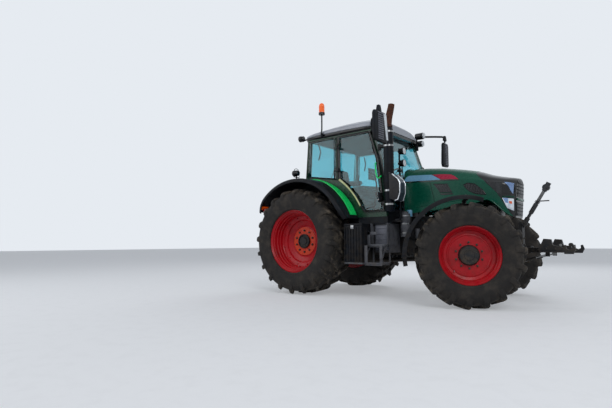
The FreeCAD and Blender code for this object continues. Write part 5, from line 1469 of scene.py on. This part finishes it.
@dataclass
class Exhaust:
    """The stack on the right cab post, its rusty tip and its heat shield."""

    place: Point = (1.755, -0.89)

    def build(self) -> None:
        """All pieces of the exhaust."""
        x, y = self.place
        shape = Shape("exhaust_pipe")
        upright = Matrix.Translation((x, y, 0))
        shape.turned([(0.0, 1.39), (0.05, 1.39), (0.072, 1.402), (0.08, 1.43), (0.08, 2.7),
                      (0.0785, 2.73), (0.07, 2.752), (0.066, 2.76), (0.064, 2.765),
                      (0.064, 2.80), (0.0, 2.80)], STACK_BLACK, upright, 56)
        for level in (1.5, 1.72, 2.45, 2.68):
            shape.turned([(0.0795, level), (0.0845, level), (0.0845, level + 0.028),
                          (0.0795, level + 0.028), (0.0795, level)], BRIGHT_STEEL, upright, 48)
        for turn in range(28):
            angle = 2 * math.pi * turn / 28
            for level in range(12):
                height = 1.82 + level * 0.05
                centre = (x + 0.0803 * math.cos(angle), y + 0.0803 * math.sin(angle), height)
                if -2.6 < math.atan2(centre[1] - y, centre[0] - x) < 0.6:
                    way = Vector((math.cos(angle), math.sin(angle), 0))
                    shape.bar(centre, Vector(centre) + way * 0.0012, 0.0075, SEAL_RUBBER, 8, 0)
        path = [(x, y, 2.755), (x + 0.002, y, 2.83), (x + 0.012, y - 0.002, 2.9),
                (x + 0.028, y - 0.004, 2.96), (x + 0.048, y - 0.006, 3.03),
                (x + 0.064, y - 0.008, 3.085), (x + 0.072, y - 0.009, 3.12),
                (x + 0.075, y - 0.01, 3.14)]
        shape.swept(path, 0.062, RUSTY_STEEL, 40, end_radius=0.05)
        shape.swept([(x + 0.0735, y - 0.0095, 3.13), (x + 0.076, y - 0.01, 3.1465)], 0.05,
                    RUSTY_STEEL, 40, end_radius=0.03)
        shape.turned([(0.064, 2.77), (0.072, 2.77), (0.072, 2.792), (0.064, 2.792),
                      (0.064, 2.77)], RUSTY_STEEL, upright, 40)
        for low in (1.52, 2.46):
            shape.cuboid((1.56 if low > 2 else 1.6, -0.9, low), (1.69, -0.8, low + 0.045),
                         CAST_GREY, 0.006)
            shape.cuboid((1.53 if low > 2 else 1.58, -0.85, low - 0.03),
                         (1.575 if low > 2 else 1.63, -0.79, low + 0.075), CAST_GREY, 0.006)
        shape.finish("chassis", "exhaust_black", ["exhaust_stack"])
        self.shield()

    def shield(self) -> None:
        """The bent guard in front of the stack, with a painted highlight along its folded edges."""
        shape = Shape("exhaust_guard")
        edge = [(1.8, 1.6), (1.9, 1.56), (1.95, 1.575), (1.988, 1.68), (1.99, 1.84),
                (1.955, 1.9), (1.86, 1.985), (1.8, 2.02)]
        shape.plate(edge, Axis.SIDE, -0.98, -0.972, CAST_GREY, 0.002)
        shape.plate(edge, Axis.SIDE, -0.81, -0.802, CAST_GREY, 0.002)
        for near, far in zip(edge[1:-1], edge[2:]):
            shape.lofted([[(near[0], -0.98, near[1]), (far[0], -0.98, far[1]),
                           (far[0] - 0.006, -0.98, far[1] - 0.006),
                           (near[0] - 0.006, -0.98, near[1] - 0.006)],
                          [(near[0], -0.802, near[1]), (far[0], -0.802, far[1]),
                           (far[0] - 0.006, -0.802, far[1] - 0.006),
                           (near[0] - 0.006, -0.802, near[1] - 0.006)]], STACK_BLUE)
        # Near-white painted highlight along both folded edges
        for across in (-0.984, -0.801):
            shape.swept([(px, across, pz) for px, pz in edge[1:-1]], 0.0085, PAINTED_HIGHLIGHT_EDGE, 10)
        shape.finish("chassis", "bright_shield", ["exhaust_shield"])


@dataclass
class Mirror:
    """A mirror head with its ribs, on a bent arm from the cab post."""

    side: Side

    def across(self, low: float, high: float) -> tuple[float, float]:
        """Two distances from the middle as lower and higher Y."""
        return tuple(sorted((low * self.side.value, high * self.side.value)))

    def build(self) -> None:
        """The head, its glass, its ribs, the clamp and the arm."""
        way = self.side.value
        shape = Shape(f"mirror_{self.side.word}_head")
        drop = 0.05 if self.side is Side.LEFT else 0.0
        outer, inner = (1.43, 1.16) if self.side is Side.LEFT else (1.475, 1.09)
        lower = inner - 0.02
        outline = [((lower + 0.03) * way, 2.44), ((outer - 0.03) * way, 2.455),
                   ((outer - 0.005) * way, 2.49), (outer * way, 2.88),
                   ((outer - 0.03) * way, 2.93), ((inner + 0.05) * way, 2.935),
                   ((inner + 0.012) * way, 2.9), (lower * way, 2.5)]
        self.head(shape, outline, outer, inner, drop)
        shape.swept([(1.44, 0.8 * way, 2.8), (1.42, 0.845 * way, 2.9),
                     (1.44, 0.865 * way, 2.965), (1.52, 0.93 * way, 2.992),
                     (1.7, 1.14 * way, 3.005), (1.79, 1.255 * way, 3.01),
                     (1.818, 1.292 * way, 2.998), (1.825, 1.3 * way, 2.96),
                     (1.825, 1.3 * way, 2.9)], 0.019, BLACK_PLASTIC, 14)
        near, far = self.across(0.79, 0.83)
        shape.cuboid((1.39, near, 2.7), (1.48, far, 2.84), BLACK_PLASTIC, 0.006)
        if self.side is Side.LEFT:
            self.lamp_pair(shape)
        shape.finish("chassis", "black_plastic", [f"mirror_{self.side.word}"])

    def head(self, shape: Shape, outline: Sequence[Point], outer: float, inner: float,
             drop: float) -> None:
        """Adds the head with its glass, ribs and clamp, and on the right a painted highlight on its
        inner edge.

        Args:
            shape: the piece that gets it.
            outline: the head's outline seen from the front.
            outer: its outer edge from the tractor's middle.
            inner: its inner edge.
            drop: how far it hangs below its usual height.
        """
        way = self.side.value
        hang = Matrix.Translation((0, 0, -drop))
        shape.plate(outline, Axis.FRONT, 1.8, 1.848, BLACK_PLASTIC, 0.014, hang)
        middle = (outer + inner) / 2 * way
        glass = [(middle + (y - middle) * 0.9, 2.69 + (z - 2.69) * 0.93) for y, z in outline]
        shape.plate(glass, Axis.FRONT, 1.795, 1.801, MIRROR_GLASS, 0.002, hang)
        wide = outer - inner
        near, far = self.across(inner + wide * 0.32, inner + wide * 0.72)
        for row in range(13):
            low = 2.49 + row * 0.0335
            shape.cuboid((1.843, near, low), (1.858, far, low + 0.019), PANEL_GREY, 0.004, hang)
        edge = [((inner - 0.014) * way, 2.5), ((inner + wide * 0.1) * way, 2.5),
                ((inner + wide * 0.3) * way, 2.915), ((inner + wide * 0.08) * way, 2.905)]
        # Near-white painted highlight on the right head's inner edge
        if self.side is Side.RIGHT:
            shape.plate(edge, Axis.FRONT, 1.842, 1.857, PAINTED_HIGHLIGHT_EDGE, 0.003, hang)
        clamp = [(1.24 * way, 2.93), (1.36 * way, 2.93), (1.33 * way, 3.03),
                 (1.27 * way, 3.03)]
        shape.plate(clamp, Axis.FRONT, 1.803, 1.847, BLACK_PLASTIC, 0.008)

    def lamp_pair(self, shape: Shape) -> None:
        """Two work lamps on a bracket at the foot of the left arm."""
        shape.cuboid((1.4, 0.84, 2.83), (1.44, 0.88, 3.04), BLACK_PLASTIC, 0.008)
        for start, wide in (((1.4, 0.885, 3.0), 0.066), ((1.37, 0.9, 2.85), 0.062)):
            end = Vector(start) + Vector((0.17, 0, 0))
            shape.bar(start, end, wide, GLOSS_BLACK, 32, 0.016)
            shape.bar(end - Vector((0.004, 0, 0)), end + Vector((0.01, 0, 0)), wide - 0.007,
                      LAMP_FACE, 28, 0.003)


@dataclass
class Lamps:
    """Work lamps at the roof's rear and on the cowl's rail, and the beacon."""

    rail: Point = (1.82, -0.65)

    def lamp(self, shape: Shape, start: Point, end: Point, radius: float) -> None:
        """Adds a round work lamp with cooling fins and a frosted face.

        Args:
            shape: the piece that gets it.
            start: middle of its back.
            end: middle of its face.
            radius: of its rim.
        """
        back, face = Vector(start), Vector(end)
        way = (face - back).normalized()
        length = (face - back).length
        place = aim(back, face)
        shape.turned([(0.0, 0.0), (radius * 0.55, 0.0), (radius * 0.7, 0.008),
                      (radius * 0.86, length * 0.45), (radius, length * 0.62),
                      (radius, length), (radius * 0.88, length), (radius * 0.86, length - 0.012),
                      (0.0, length - 0.02)], GLOSS_BLACK, place, 40)
        shape.turned([(0.0, length - 0.014), (radius * 0.86, length - 0.006),
                      (radius * 0.87, length - 0.002), (radius * 0.4, length + 0.0015),
                      (0.0, length + 0.002)], LAMP_FACE, place, 36)
        for fin in range(5):
            low = back + way * (length * 0.1 + fin * length * 0.09)
            shape.bar(low, low + way * 0.004, radius * 0.86, GLOSS_BLACK, 32, 0.001)

    def work_lamps(self) -> None:
        """The four work lamps."""
        shape = Shape("work_lamp_set")
        for side in Side:
            way = side.value
            self.lamp(shape, (-0.17, 0.712 * way, 2.922), (-0.27, 0.712 * way, 2.922), 0.058)
            shape.swept([(-0.06, 0.712 * way, 2.892), (-0.15, 0.712 * way, 2.885),
                         (-0.2, 0.712 * way, 2.87)], 0.014, BLACK_PLASTIC, 12)
        x, y = self.rail
        shape.swept([(x - 0.06, y, 1.25), (x - 0.01, y, 1.28), (x, y, 1.35), (x, y, 2.45)],
                    0.014, BLACK_PLASTIC, 14)
        shape.cuboid((1.68, y - 0.02, 1.24), (1.84, y + 0.02, 1.262), CAST_GREY, 0.004)
        for height in (2.2, 2.4):
            self.lamp(shape, (x + 0.012, y, height), (x + 0.095, y, height), 0.06)
            shape.cuboid((x - 0.02, y - 0.022, height - 0.02), (x + 0.02, y + 0.022,
                                                                height + 0.02),
                         BLACK_PLASTIC, 0.006)
        shape.cuboid((x - 0.035, y - 0.03, 2.06), (x + 0.03, y + 0.03, 2.1), BLACK_PLASTIC, 0.008)
        shape.finish("chassis", "black_plastic", ["work_lamps"])

    def beacon(self) -> None:
        """The amber beacon on its bent stalk."""
        shape = Shape("beacon_arm")
        shape.swept([(0.4, -0.868, 2.85), (0.4, -0.9, 2.853), (0.399, -0.905, 2.9),
                     (0.4, -0.89, 2.96), (0.4, -0.888, 3.05), (0.4, -0.888, 3.25)], 0.013,
                    BLACK_PLASTIC, 14)
        shape.cuboid((0.375, -0.9, 2.83), (0.425, -0.87, 2.9), BLACK_PLASTIC, 0.005)
        place = Matrix.Translation((0.4, -0.888, 3.24))
        shape.turned([(0.0, 0.0), (0.05, 0.0), (0.058, 0.008), (0.058, 0.036), (0.054, 0.045),
                      (0.0, 0.045)], GLOSS_BLACK, place, 40)
        shape.finish("chassis", "black_plastic", ["beacon_stalk"])
        shape = Shape("beacon_dome")
        profile = [(0.0, 0.045), (0.052, 0.045), (0.052, 0.06)]
        for rib in range(9):
            base = 0.062 + rib * 0.0115
            profile += [(0.0525, base), (0.0505, base + 0.0058)]
        profile += [(0.051, 0.166), (0.047, 0.186), (0.038, 0.204), (0.026, 0.216),
                    (0.012, 0.222), (0.0, 0.2225)]
        shape.turned(profile, BEACON_LENS, place, 44)
        shape.finish("chassis", "beacon_orange", ["beacon"])

    def build(self) -> None:
        """All lamps."""
        self.work_lamps()
        self.beacon()


# Below the cab


@dataclass
class Underside:
    """Steps, tool box and tank details, engine parts and axle details."""

    def steps(self, side: Side) -> None:
        """Two treads with raised grips between bent side plates."""
        way = side.value
        shape = Shape(f"steps_{side.word}_treads")
        for x in (1.38, 1.68):
            rail = [(0.86 * way, 1.22), (0.86 * way, 0.9), (0.97 * way, 0.78),
                    (1.055 * way, 0.66), (1.055 * way, 0.57)]
            inner = [(0.78 * way, 1.22), (0.78 * way, 0.6)]
            for low, high, start, end in (
                    (0.56, 1.22, 0.775, 0.815), (0.845, 1.22, 0.815, 0.87)):
                near, far = sorted((start * way, end * way))
                shape.cuboid((x, near, low), (x + 0.012, far, high), STEP_GREY, 0.003)
            for start, end in zip(rail[1:], rail[2:]):
                shape.plate([(start[0] - 0.03 * way, start[1]), (start[0], start[1]),
                             (end[0], end[1]), (end[0] - 0.045 * way, end[1])], Axis.FRONT, x,
                            x + 0.012, STEP_GREY, 0.003)
            for bolt in inner:
                shape.bar((x - 0.004, bolt[0] + 0.02 * way, bolt[1] - 0.03),
                          (x + 0.018, bolt[0] + 0.02 * way, bolt[1] - 0.03), 0.011, NUT_STEEL, 6)
        for low, high, face, finish in (
                ((1.372, 0.86), (1.43, 1.08), 0.956, STEP_GREY),
                ((1.372, 1.03), (1.55, 1.08), 0.956, STEP_GREY),
                ((1.372, 0.56), (1.43, 0.86), 1.052, STEP_GREY),
                ((1.65, 0.56), (1.7, 0.86), 1.052, STEP_GREY),
                ((1.372, 0.845), (1.7, 0.88), 0.962, STEP_GREY)):
            near, far = sorted((face * way, (face + 0.01) * way))
            shape.cuboid((low[0], near, low[1]), (high[0], far, high[1]), finish, 0.004)
        for level, far_edge in ((0.56, 1.06), (0.85, 0.96)):
            near, far = sorted((0.8 * way, far_edge * way))
            shape.cuboid((1.38, near, level), (1.692, far, level + 0.012), STEP_GREY, 0.003)
            outer = far_edge * way
            for y in (outer - 0.012 * way, 0.81 * way):
                low_y, high_y = sorted((y, y + 0.012 * way))
                shape.cuboid((1.38, low_y, level - 0.02), (1.692, high_y, level + 0.028),
                             STEP_GREY, 0.003)
            rows = int(abs(far_edge - 0.84) / 0.04)
            for row in range(rows):
                y = (0.845 + row * 0.04) * way
                for column in range(7):
                    x = 1.405 + column * 0.042
                    shape.bar((x, y, level + 0.011), (x, y, level + 0.02), 0.011, STEP_GREY, 8,
                              0.002, 0.007)
        shape.finish("chassis", "step_grey", [f"steps_{side.word}"])

    def tool_box(self) -> None:
        """The ribbed box behind the right steps, with its lid and latch."""
        shape = Shape("tool_box_shell")
        shape.cuboid((1.0, -1.088, 0.56), (1.35, -0.7, 1.2), BLACK_PLASTIC, 0.02)
        shape.cuboid((0.995, -1.094, 1.175), (1.352, -0.7, 1.22), BLACK_PLASTIC, 0.012)
        for rib in range(7):
            x = 1.008 + rib * 0.054
            shape.plate([(x, 0.6), (x + 0.018, 0.6), (x + 0.018, 1.165), (x, 1.165)], Axis.SIDE,
                        -1.102, -1.08, BLACK_PLASTIC, 0.005)
        for rib in range(6):
            y = -1.03 + rib * 0.058
            shape.cuboid((1.346, y, 0.61), (1.356, y + 0.018, 1.15), BLACK_PLASTIC, 0.004)
        shape.cuboid((0.998, -1.09, 0.556), (1.352, -0.7, 0.585), STEP_GREY, 0.006)
        shape.cuboid((1.14, -1.108, 1.13), (1.2, -1.09, 1.19), BRIGHT_STEEL, 0.004)
        shape.finish("chassis", "black_plastic", ["tool_box"])

    def tanks(self) -> None:
        """Straps, caps and the canisters beside the tank."""
        shape = Shape("tank_fittings")
        for x in (1.07, 1.27):
            shape.cuboid((x, 0.396, 0.596), (x + 0.035, 0.906, 1.224), STEP_GREY, 0.004)
        shape.bar((1.1, 0.8, 1.22), (1.1, 0.8, 1.262), 0.045, BLACK_PLASTIC, 28, 0.006)
        panel = [(1.42, 0.78), (1.655, 0.78), (1.655, 1.19), (1.42, 1.19)]
        shape.plate(panel, Axis.SIDE, -0.782, -0.768, PANEL_GREY, 0.008)
        for height in (0.86, 0.95, 1.04, 1.13):
            shape.cuboid((1.43, -0.79, height), (1.645, -0.78, height + 0.02), PANEL_GREY, 0.004)
        shape.turned([(0.0, 0.0), (0.05, 0.0), (0.062, 0.012), (0.062, 0.02), (0.045, 0.05),
                      (0.0, 0.058)], GLOSS_BLACK, Matrix.Translation((1.59, -0.65, 1.219)), 32)
        for height in (1.05, 1.2, 1.33):
            shape.turned([(0.0795, 0.0), (0.0835, 0.0), (0.0835, 0.02), (0.0795, 0.02),
                          (0.0795, 0.0)], BRIGHT_STEEL,
                         Matrix.Translation((1.845, -0.54, height)), 36)
        shape.bar((1.88, -0.45, 1.33), (1.88, -0.45, 1.44), 0.045, PALE_BLUE, 28, 0.01)
        shape.bar((1.88, -0.45, 1.24), (1.88, -0.45, 1.33), 0.03, CAST_GREY, 24)
        shape.cuboid((1.8, -0.48, 1.22), (1.9, -0.24, 1.25), CAST_GREY, 0.005)
        shape.finish("chassis", "step_grey")

    def engine(self) -> None:
        """Parts that show below the hood: filters, pipes, sump ribs and the cooler."""
        shape = Shape("engine_parts")
        for way in (1, -1):
            for x in (2.0, 2.17, 2.34, 2.51, 2.68, 2.85):
                shape.cuboid((x, 0.175 * way - 0.03, 1.0), (x + 0.03, 0.175 * way + 0.03, 1.3),
                             CAST_GREY, 0.006)
            shape.bar((2.3, 0.19 * way, 1.3), (2.8, 0.19 * way, 1.32), 0.034, CAST_GREY, 28,
                      0.01)
            shape.bar((2.9, 0.19 * way, 1.05), (2.9, 0.19 * way, 1.25), 0.04, CAST_GREY, 28,
                      0.012)
            shape.bar((1.9, 0.205 * way, 0.97), (1.9, 0.205 * way, 1.14), 0.042, STEP_GREY, 28,
                      0.012)
            shape.swept([(2.9, 0.19 * way, 1.25), (2.93, 0.195 * way, 1.36),
                         (3.0, 0.185 * way, 1.42), (3.08, 0.17 * way, 1.43)], 0.026, SEAL_RUBBER,
                        14)
            shape.swept([(1.72, 0.2 * way, 1.0), (1.95, 0.2 * way, 0.93),
                         (2.3, 0.192 * way, 0.91), (2.8, 0.19 * way, 0.9),
                         (3.1, 0.18 * way, 0.92)], 0.014, SEAL_RUBBER, 10)
            for x in (1.85, 2.15, 2.45, 2.75, 3.0):
                shape.bar((x, 0.18 * way, 0.9), (x, 0.2 * way, 0.9), 0.014, NUT_STEEL, 6)
        shape.cuboid((3.1, -0.21, 0.99), (3.2, 0.21, 1.47), GRILLE_MESH, 0.008)
        for x in range(9):
            place = 2.0 + x * 0.1
            shape.cuboid((place, -0.16, 0.845), (place + 0.02, 0.16, 0.875), CAST_GREY, 0.004)
        shape.finish("chassis", "chassis_grey")

    def axles(self) -> None:
        """Bolt rings, ribs and pipes on the axles and the gearbox."""
        shape = Shape("axle_fittings")
        for side in Side:
            way = side.value
            for y in (0.34, 0.6):
                ring = aim((0.0, y * way, 0.939), (0.0, (y + 0.03) * way, 0.939))
                shape.turned([(0.125, 0.0), (0.165, 0.0), (0.165, 0.024), (0.125, 0.024),
                              (0.125, 0.0)], CAST_GREY, ring, 40)
                for bolt in range(12):
                    angle = 2 * math.pi * bolt / 12
                    shape.bar((0.148 * math.cos(angle), 0.148 * math.sin(angle), 0.024),
                              (0.148 * math.cos(angle), 0.148 * math.sin(angle), 0.036), 0.011,
                              NUT_STEEL, 6, 0.001, place=ring)
            for x in (0.3, 0.6, 0.9, 1.2, 1.5):
                shape.cuboid((x, 0.228 * way - 0.012, 0.66), (x + 0.03, 0.228 * way + 0.012,
                                                              1.1), CAST_GREY, 0.006)
            shape.swept([(0.5, 0.25 * way, 1.0), (0.9, 0.28 * way, 0.95),
                         (1.4, 0.27 * way, 0.98), (1.72, 0.24 * way, 1.05)], 0.012, SEAL_RUBBER,
                        10)
            shape.bar((2.86, 0.12 * way, 0.81), (2.86, 0.4 * way, 0.81), 0.03, CAST_GREY, 24)
            shape.bar((2.86, 0.4 * way, 0.81), (2.86, 0.5 * way, 0.81), 0.014, BRIGHT_STEEL, 16)
        shape.bar((0.6, 0.0, 0.56), (2.7, 0.0, 0.66), 0.035, CAST_GREY, 24)
        shape.finish("chassis", "chassis_grey")

    def build(self) -> None:
        """All pieces below the cab and the hood."""
        for side in Side:
            self.steps(side)
        self.tool_box()
        self.tanks()
        self.engine()
        self.axles()


# Linkages


@dataclass
class Linkages:
    """Details on the front and rear linkages, whose bars are the frame's own."""

    link_foot: Point = (3.52, 0.0, 1.182)
    link_top: Point = (3.832, 0.0, 1.696)

    def link_point(self, distance: float) -> Vector:
        """A point on the front top link, by its distance from the foot."""
        foot, top = Vector(self.link_foot), Vector(self.link_top)
        return foot + (top - foot).normalized() * distance

    def front(self) -> None:
        """Threads, lock nuts, pins and bolts of the front linkage."""
        shape = Shape("front_link_fittings")
        for distance in (0.34, 0.36):
            shape.bar(self.link_point(distance), self.link_point(distance + 0.014), 0.036,
                      CAST_GREY, 6, 0.002)
        for turn in range(12):
            start = self.link_point(0.385 + turn * 0.013)
            shape.bar(start, self.link_point(0.391 + turn * 0.013), 0.0245, BRIGHT_STEEL, 20,
                      0.001)
        shape.finish("top_link_front", "bright_steel")
        shape = Shape("front_frame_fittings")
        for way in (1, -1):
            for height in (0.66, 0.76, 0.86, 0.96):
                shape.bar((3.466, 0.13 * way, height), (3.482, 0.13 * way, height), 0.014,
                          NUT_STEEL, 6)
            shape.bar((3.455, 0.14 * way, 1.0), (3.455, 0.14 * way, 1.05), 0.018, BRIGHT_STEEL,
                      16)
        shape.finish("chassis", "chassis_grey")
        shape = Shape("front_arm_fittings")
        for way in (1, -1):
            for x in (3.87, 3.98):
                shape.bar((x, 0.422 * way, 0.81), (x, 0.434 * way, 0.81), 0.016, NUT_STEEL, 6)
            shape.bar((4.046, 0.416 * way, 0.858), (4.046, 0.43 * way, 0.858), 0.018,
                      BRIGHT_STEEL, 20)
            shape.cuboid((4.09, 0.372 * way - 0.01, 0.79), (4.1, 0.408 * way + 0.01, 0.84),
                         BRIGHT_STEEL, 0.003)
        shape.finish("front_lift_arms", "chassis_grey")

    def rear(self) -> None:
        """Spool couplings, bolts and the guard over the drive shaft."""
        shape = Shape("rear_fittings")
        for way in (1, -1):
            for row in range(3):
                spot = (-0.38, (0.1 + row * 0.045) * way, 1.09)
                shape.bar(spot, (-0.43, spot[1], 1.09), 0.016, BRIGHT_STEEL, 18)
                shape.bar((-0.428, spot[1], 1.09), (-0.436, spot[1], 1.09), 0.02,
                          RED_LENS if row == 1 else GLOSS_BLACK, 18)
            for height in (0.5, 0.62, 0.74, 0.82):
                shape.bar((-0.558, 0.12 * way, height), (-0.574, 0.12 * way, height), 0.014,
                          NUT_STEEL, 6)
        for side in (-1, 1):
            shape.cuboid((-0.66, 0.095 * side - 0.01, 0.62), (-0.558, 0.095 * side + 0.01, 0.76),
                         STEP_GREY, 0.004)
        shape.cuboid((-0.66, -0.1, 0.745), (-0.558, 0.1, 0.765), STEP_GREY, 0.004)
        shape.finish("chassis", "chassis_grey")

    def build(self) -> None:
        """Both linkages."""
        self.front()
        self.rear()


# Frame nodes that stay


def dress_nodes() -> None:
    """Gives every CAD node that still shows its real finish."""
    finishes = {
        CAST_GREY: ("transmission_housing", "rear_axle", "engine_block", "front_frame",
                    "front_axle_beam", "knuckle_left", "knuckle_right", "tie_rod", "hood_mount",
                    "linkage_frame", "front_lift_arms", "front_ram_barrels", "drawbar_hitch",
                    "lower_links", "lift_arms", "lift_rods"),
        CAB_BLACK_GREEN: ("cab_frame_left", "cab_frame_right"),
        DOOR_BLACK: ("door_left", "door_right"),
        BLACK_PLASTIC: ("cab_floor", "steering_console", "fuel_tank"),
        BRIGHT_STEEL: ("front_ram_rods", "pto_shaft"),
        LINK_STEEL: ("top_link_front", "top_link_rear"),
        STEP_GREY: ("side_tank",),
        PANE: ("quarter_glass", "windscreen", "rear_window", "door_glass_left",
               "door_glass_right"),
    }
    for finish, names in finishes.items():
        for name in names:
            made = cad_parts[name]
            if not made.material_slots:
                made.data.materials.append(finish.material())
            for slot in made.material_slots:
                slot.material = finish.material()
            LOG.info("%s gets %s", name, finish.name)


# Studio


@dataclass(frozen=True)
class Studio:
    """Pale floor, soft lights and the camera at the photograph's place."""

    lens_mm: float = 25.7
    camera: Point = (5.155, -7.119, 0.892)
    yaw: float = 0.6896
    pitch: float = 0.0906
    roll: float = -0.0043
    floor_lift: float = 0.42

    def build(self) -> None:
        """Makes the floor, the lamps, the world and the camera."""
        self.floor()
        self.world()
        self.lamp("key_light", (9.0, -9.0, 9.0), (0.6, 0, 1.2), 6.0, 620)
        self.lamp("fill_light", (-7.0, -10.0, 6.0), (-0.5, 0, 1.2), 8.0, 300)
        self.lamp("back_light", (-2.0, 9.0, 9.0), (0, 0, 1.6), 7.0, 360)
        self.aim_camera()

    def floor(self) -> None:
        """A wide pale floor."""
        bm = bmesh.new()
        bmesh.ops.create_grid(bm, x_segments=1, y_segments=1, size=70)
        mesh = bpy.data.meshes.new("studio_floor")
        bm.to_mesh(mesh)
        bm.free()
        mesh.materials.append(self.floor_material())
        made = bpy.data.objects.new("studio_floor", mesh)
        bpy.context.scene.collection.objects.link(made)

    def floor_material(self) -> bpy.types.Material:
        """Pale paint that looks light to the camera and keeps the object's shadow."""
        made = Finish("pale_studio_floor", "#d2d4d7", 0.9, second="#cfd1d4", gloss=0.1).material()
        tree = made.node_tree
        share = node(tree, "Math", {"operation": "MULTIPLY"}, {
            0: self.seen(tree), 1: self.floor_lift})
        shader = next(item for item in tree.nodes if item.type == "BSDF_PRINCIPLED")
        shader.inputs["Emission Color"].default_value = linear("#d2d4d7")
        tree.links.new(share.outputs[0], shader.inputs["Emission Strength"])
        return made

    def seen(self, tree: bpy.types.NodeTree) -> bpy.types.NodeSocket:
        """One for rays that come from the camera, also by way of gloss and glass."""
        path = node(tree, "LightPath")
        near = node(tree, "Math", {"operation": "MAXIMUM"}, {
            0: path.outputs["Is Camera Ray"], 1: path.outputs["Is Glossy Ray"]})
        both = node(tree, "Math", {"operation": "MAXIMUM"}, {
            0: near.outputs[0], 1: path.outputs["Is Transmission Ray"]})
        return both.outputs[0]

    def world(self) -> None:
        """An even pale world that also shows in glass and gloss."""
        made = bpy.data.worlds.new("studio_world")
        made.use_nodes = True
        tree = made.node_tree
        tree.nodes.clear()
        colour = node(tree, "Mix", {"data_type": "RGBA"}, {
            "Factor": self.seen(tree), 6: linear("#7d838b"), 7: linear("#e6ebf1")})
        back = node(tree, "Background", None, {"Color": colour.outputs[2], "Strength": 1.0})
        node(tree, "OutputWorld", None, {"Surface": back.outputs[0]})
        bpy.context.scene.world = made

    def lamp(self, name: str, place: Point, target: Point, size: float, power: float) -> None:
        """Adds one square soft light that looks at a point."""
        data = bpy.data.lights.new(name, "AREA")
        data.size = size
        data.energy = power
        made = bpy.data.objects.new(name, data)
        made.location = place
        way = Vector(target) - Vector(place)
        made.rotation_mode = "QUATERNION"
        made.rotation_quaternion = way.to_track_quat("-Z", "Y")
        made.visible_glossy = name != "back_light"
        bpy.context.scene.collection.objects.link(made)

    def aim_camera(self) -> None:
        """Puts the camera where the photograph was taken from."""
        data = bpy.data.cameras.new("camera")
        data.lens = self.lens_mm
        data.sensor_width = 36
        data.clip_end = 300
        made = bpy.data.objects.new("camera", data)
        bpy.context.scene.collection.objects.link(made)
        forward = Vector((-math.sin(self.yaw) * math.cos(self.pitch),
                          math.cos(self.yaw) * math.cos(self.pitch), math.sin(self.pitch)))
        right = Vector((math.cos(self.yaw), math.sin(self.yaw), 0))
        up = right.cross(forward)
        turn = Matrix((right, up, -forward)).transposed()
        roll = Matrix.Rotation(self.roll, 3, "Z")
        made.matrix_world = (Matrix.Translation(Vector(self.camera) + Vector((REAR_AXLE_X, 0, 0)))
                             @ (turn @ roll).to_4x4())
        bpy.context.scene.camera = made


def main() -> None:
    """Builds the studio and every sub-assembly in order."""
    logging.basicConfig(level=logging.INFO)
    bpy.context.scene.view_settings.view_transform = "Standard"
    Studio().build()
    make_wheels()
    for side in Side:
        FrontFender(side).build()
        RearFender(side).build()
        Mirror(side).build()
    for part in (Hood(), Cab(), Exhaust(), Lamps(), Underside(), Linkages()):
        part.build()
    dress_nodes()


if __name__ == "__main__":
    main()
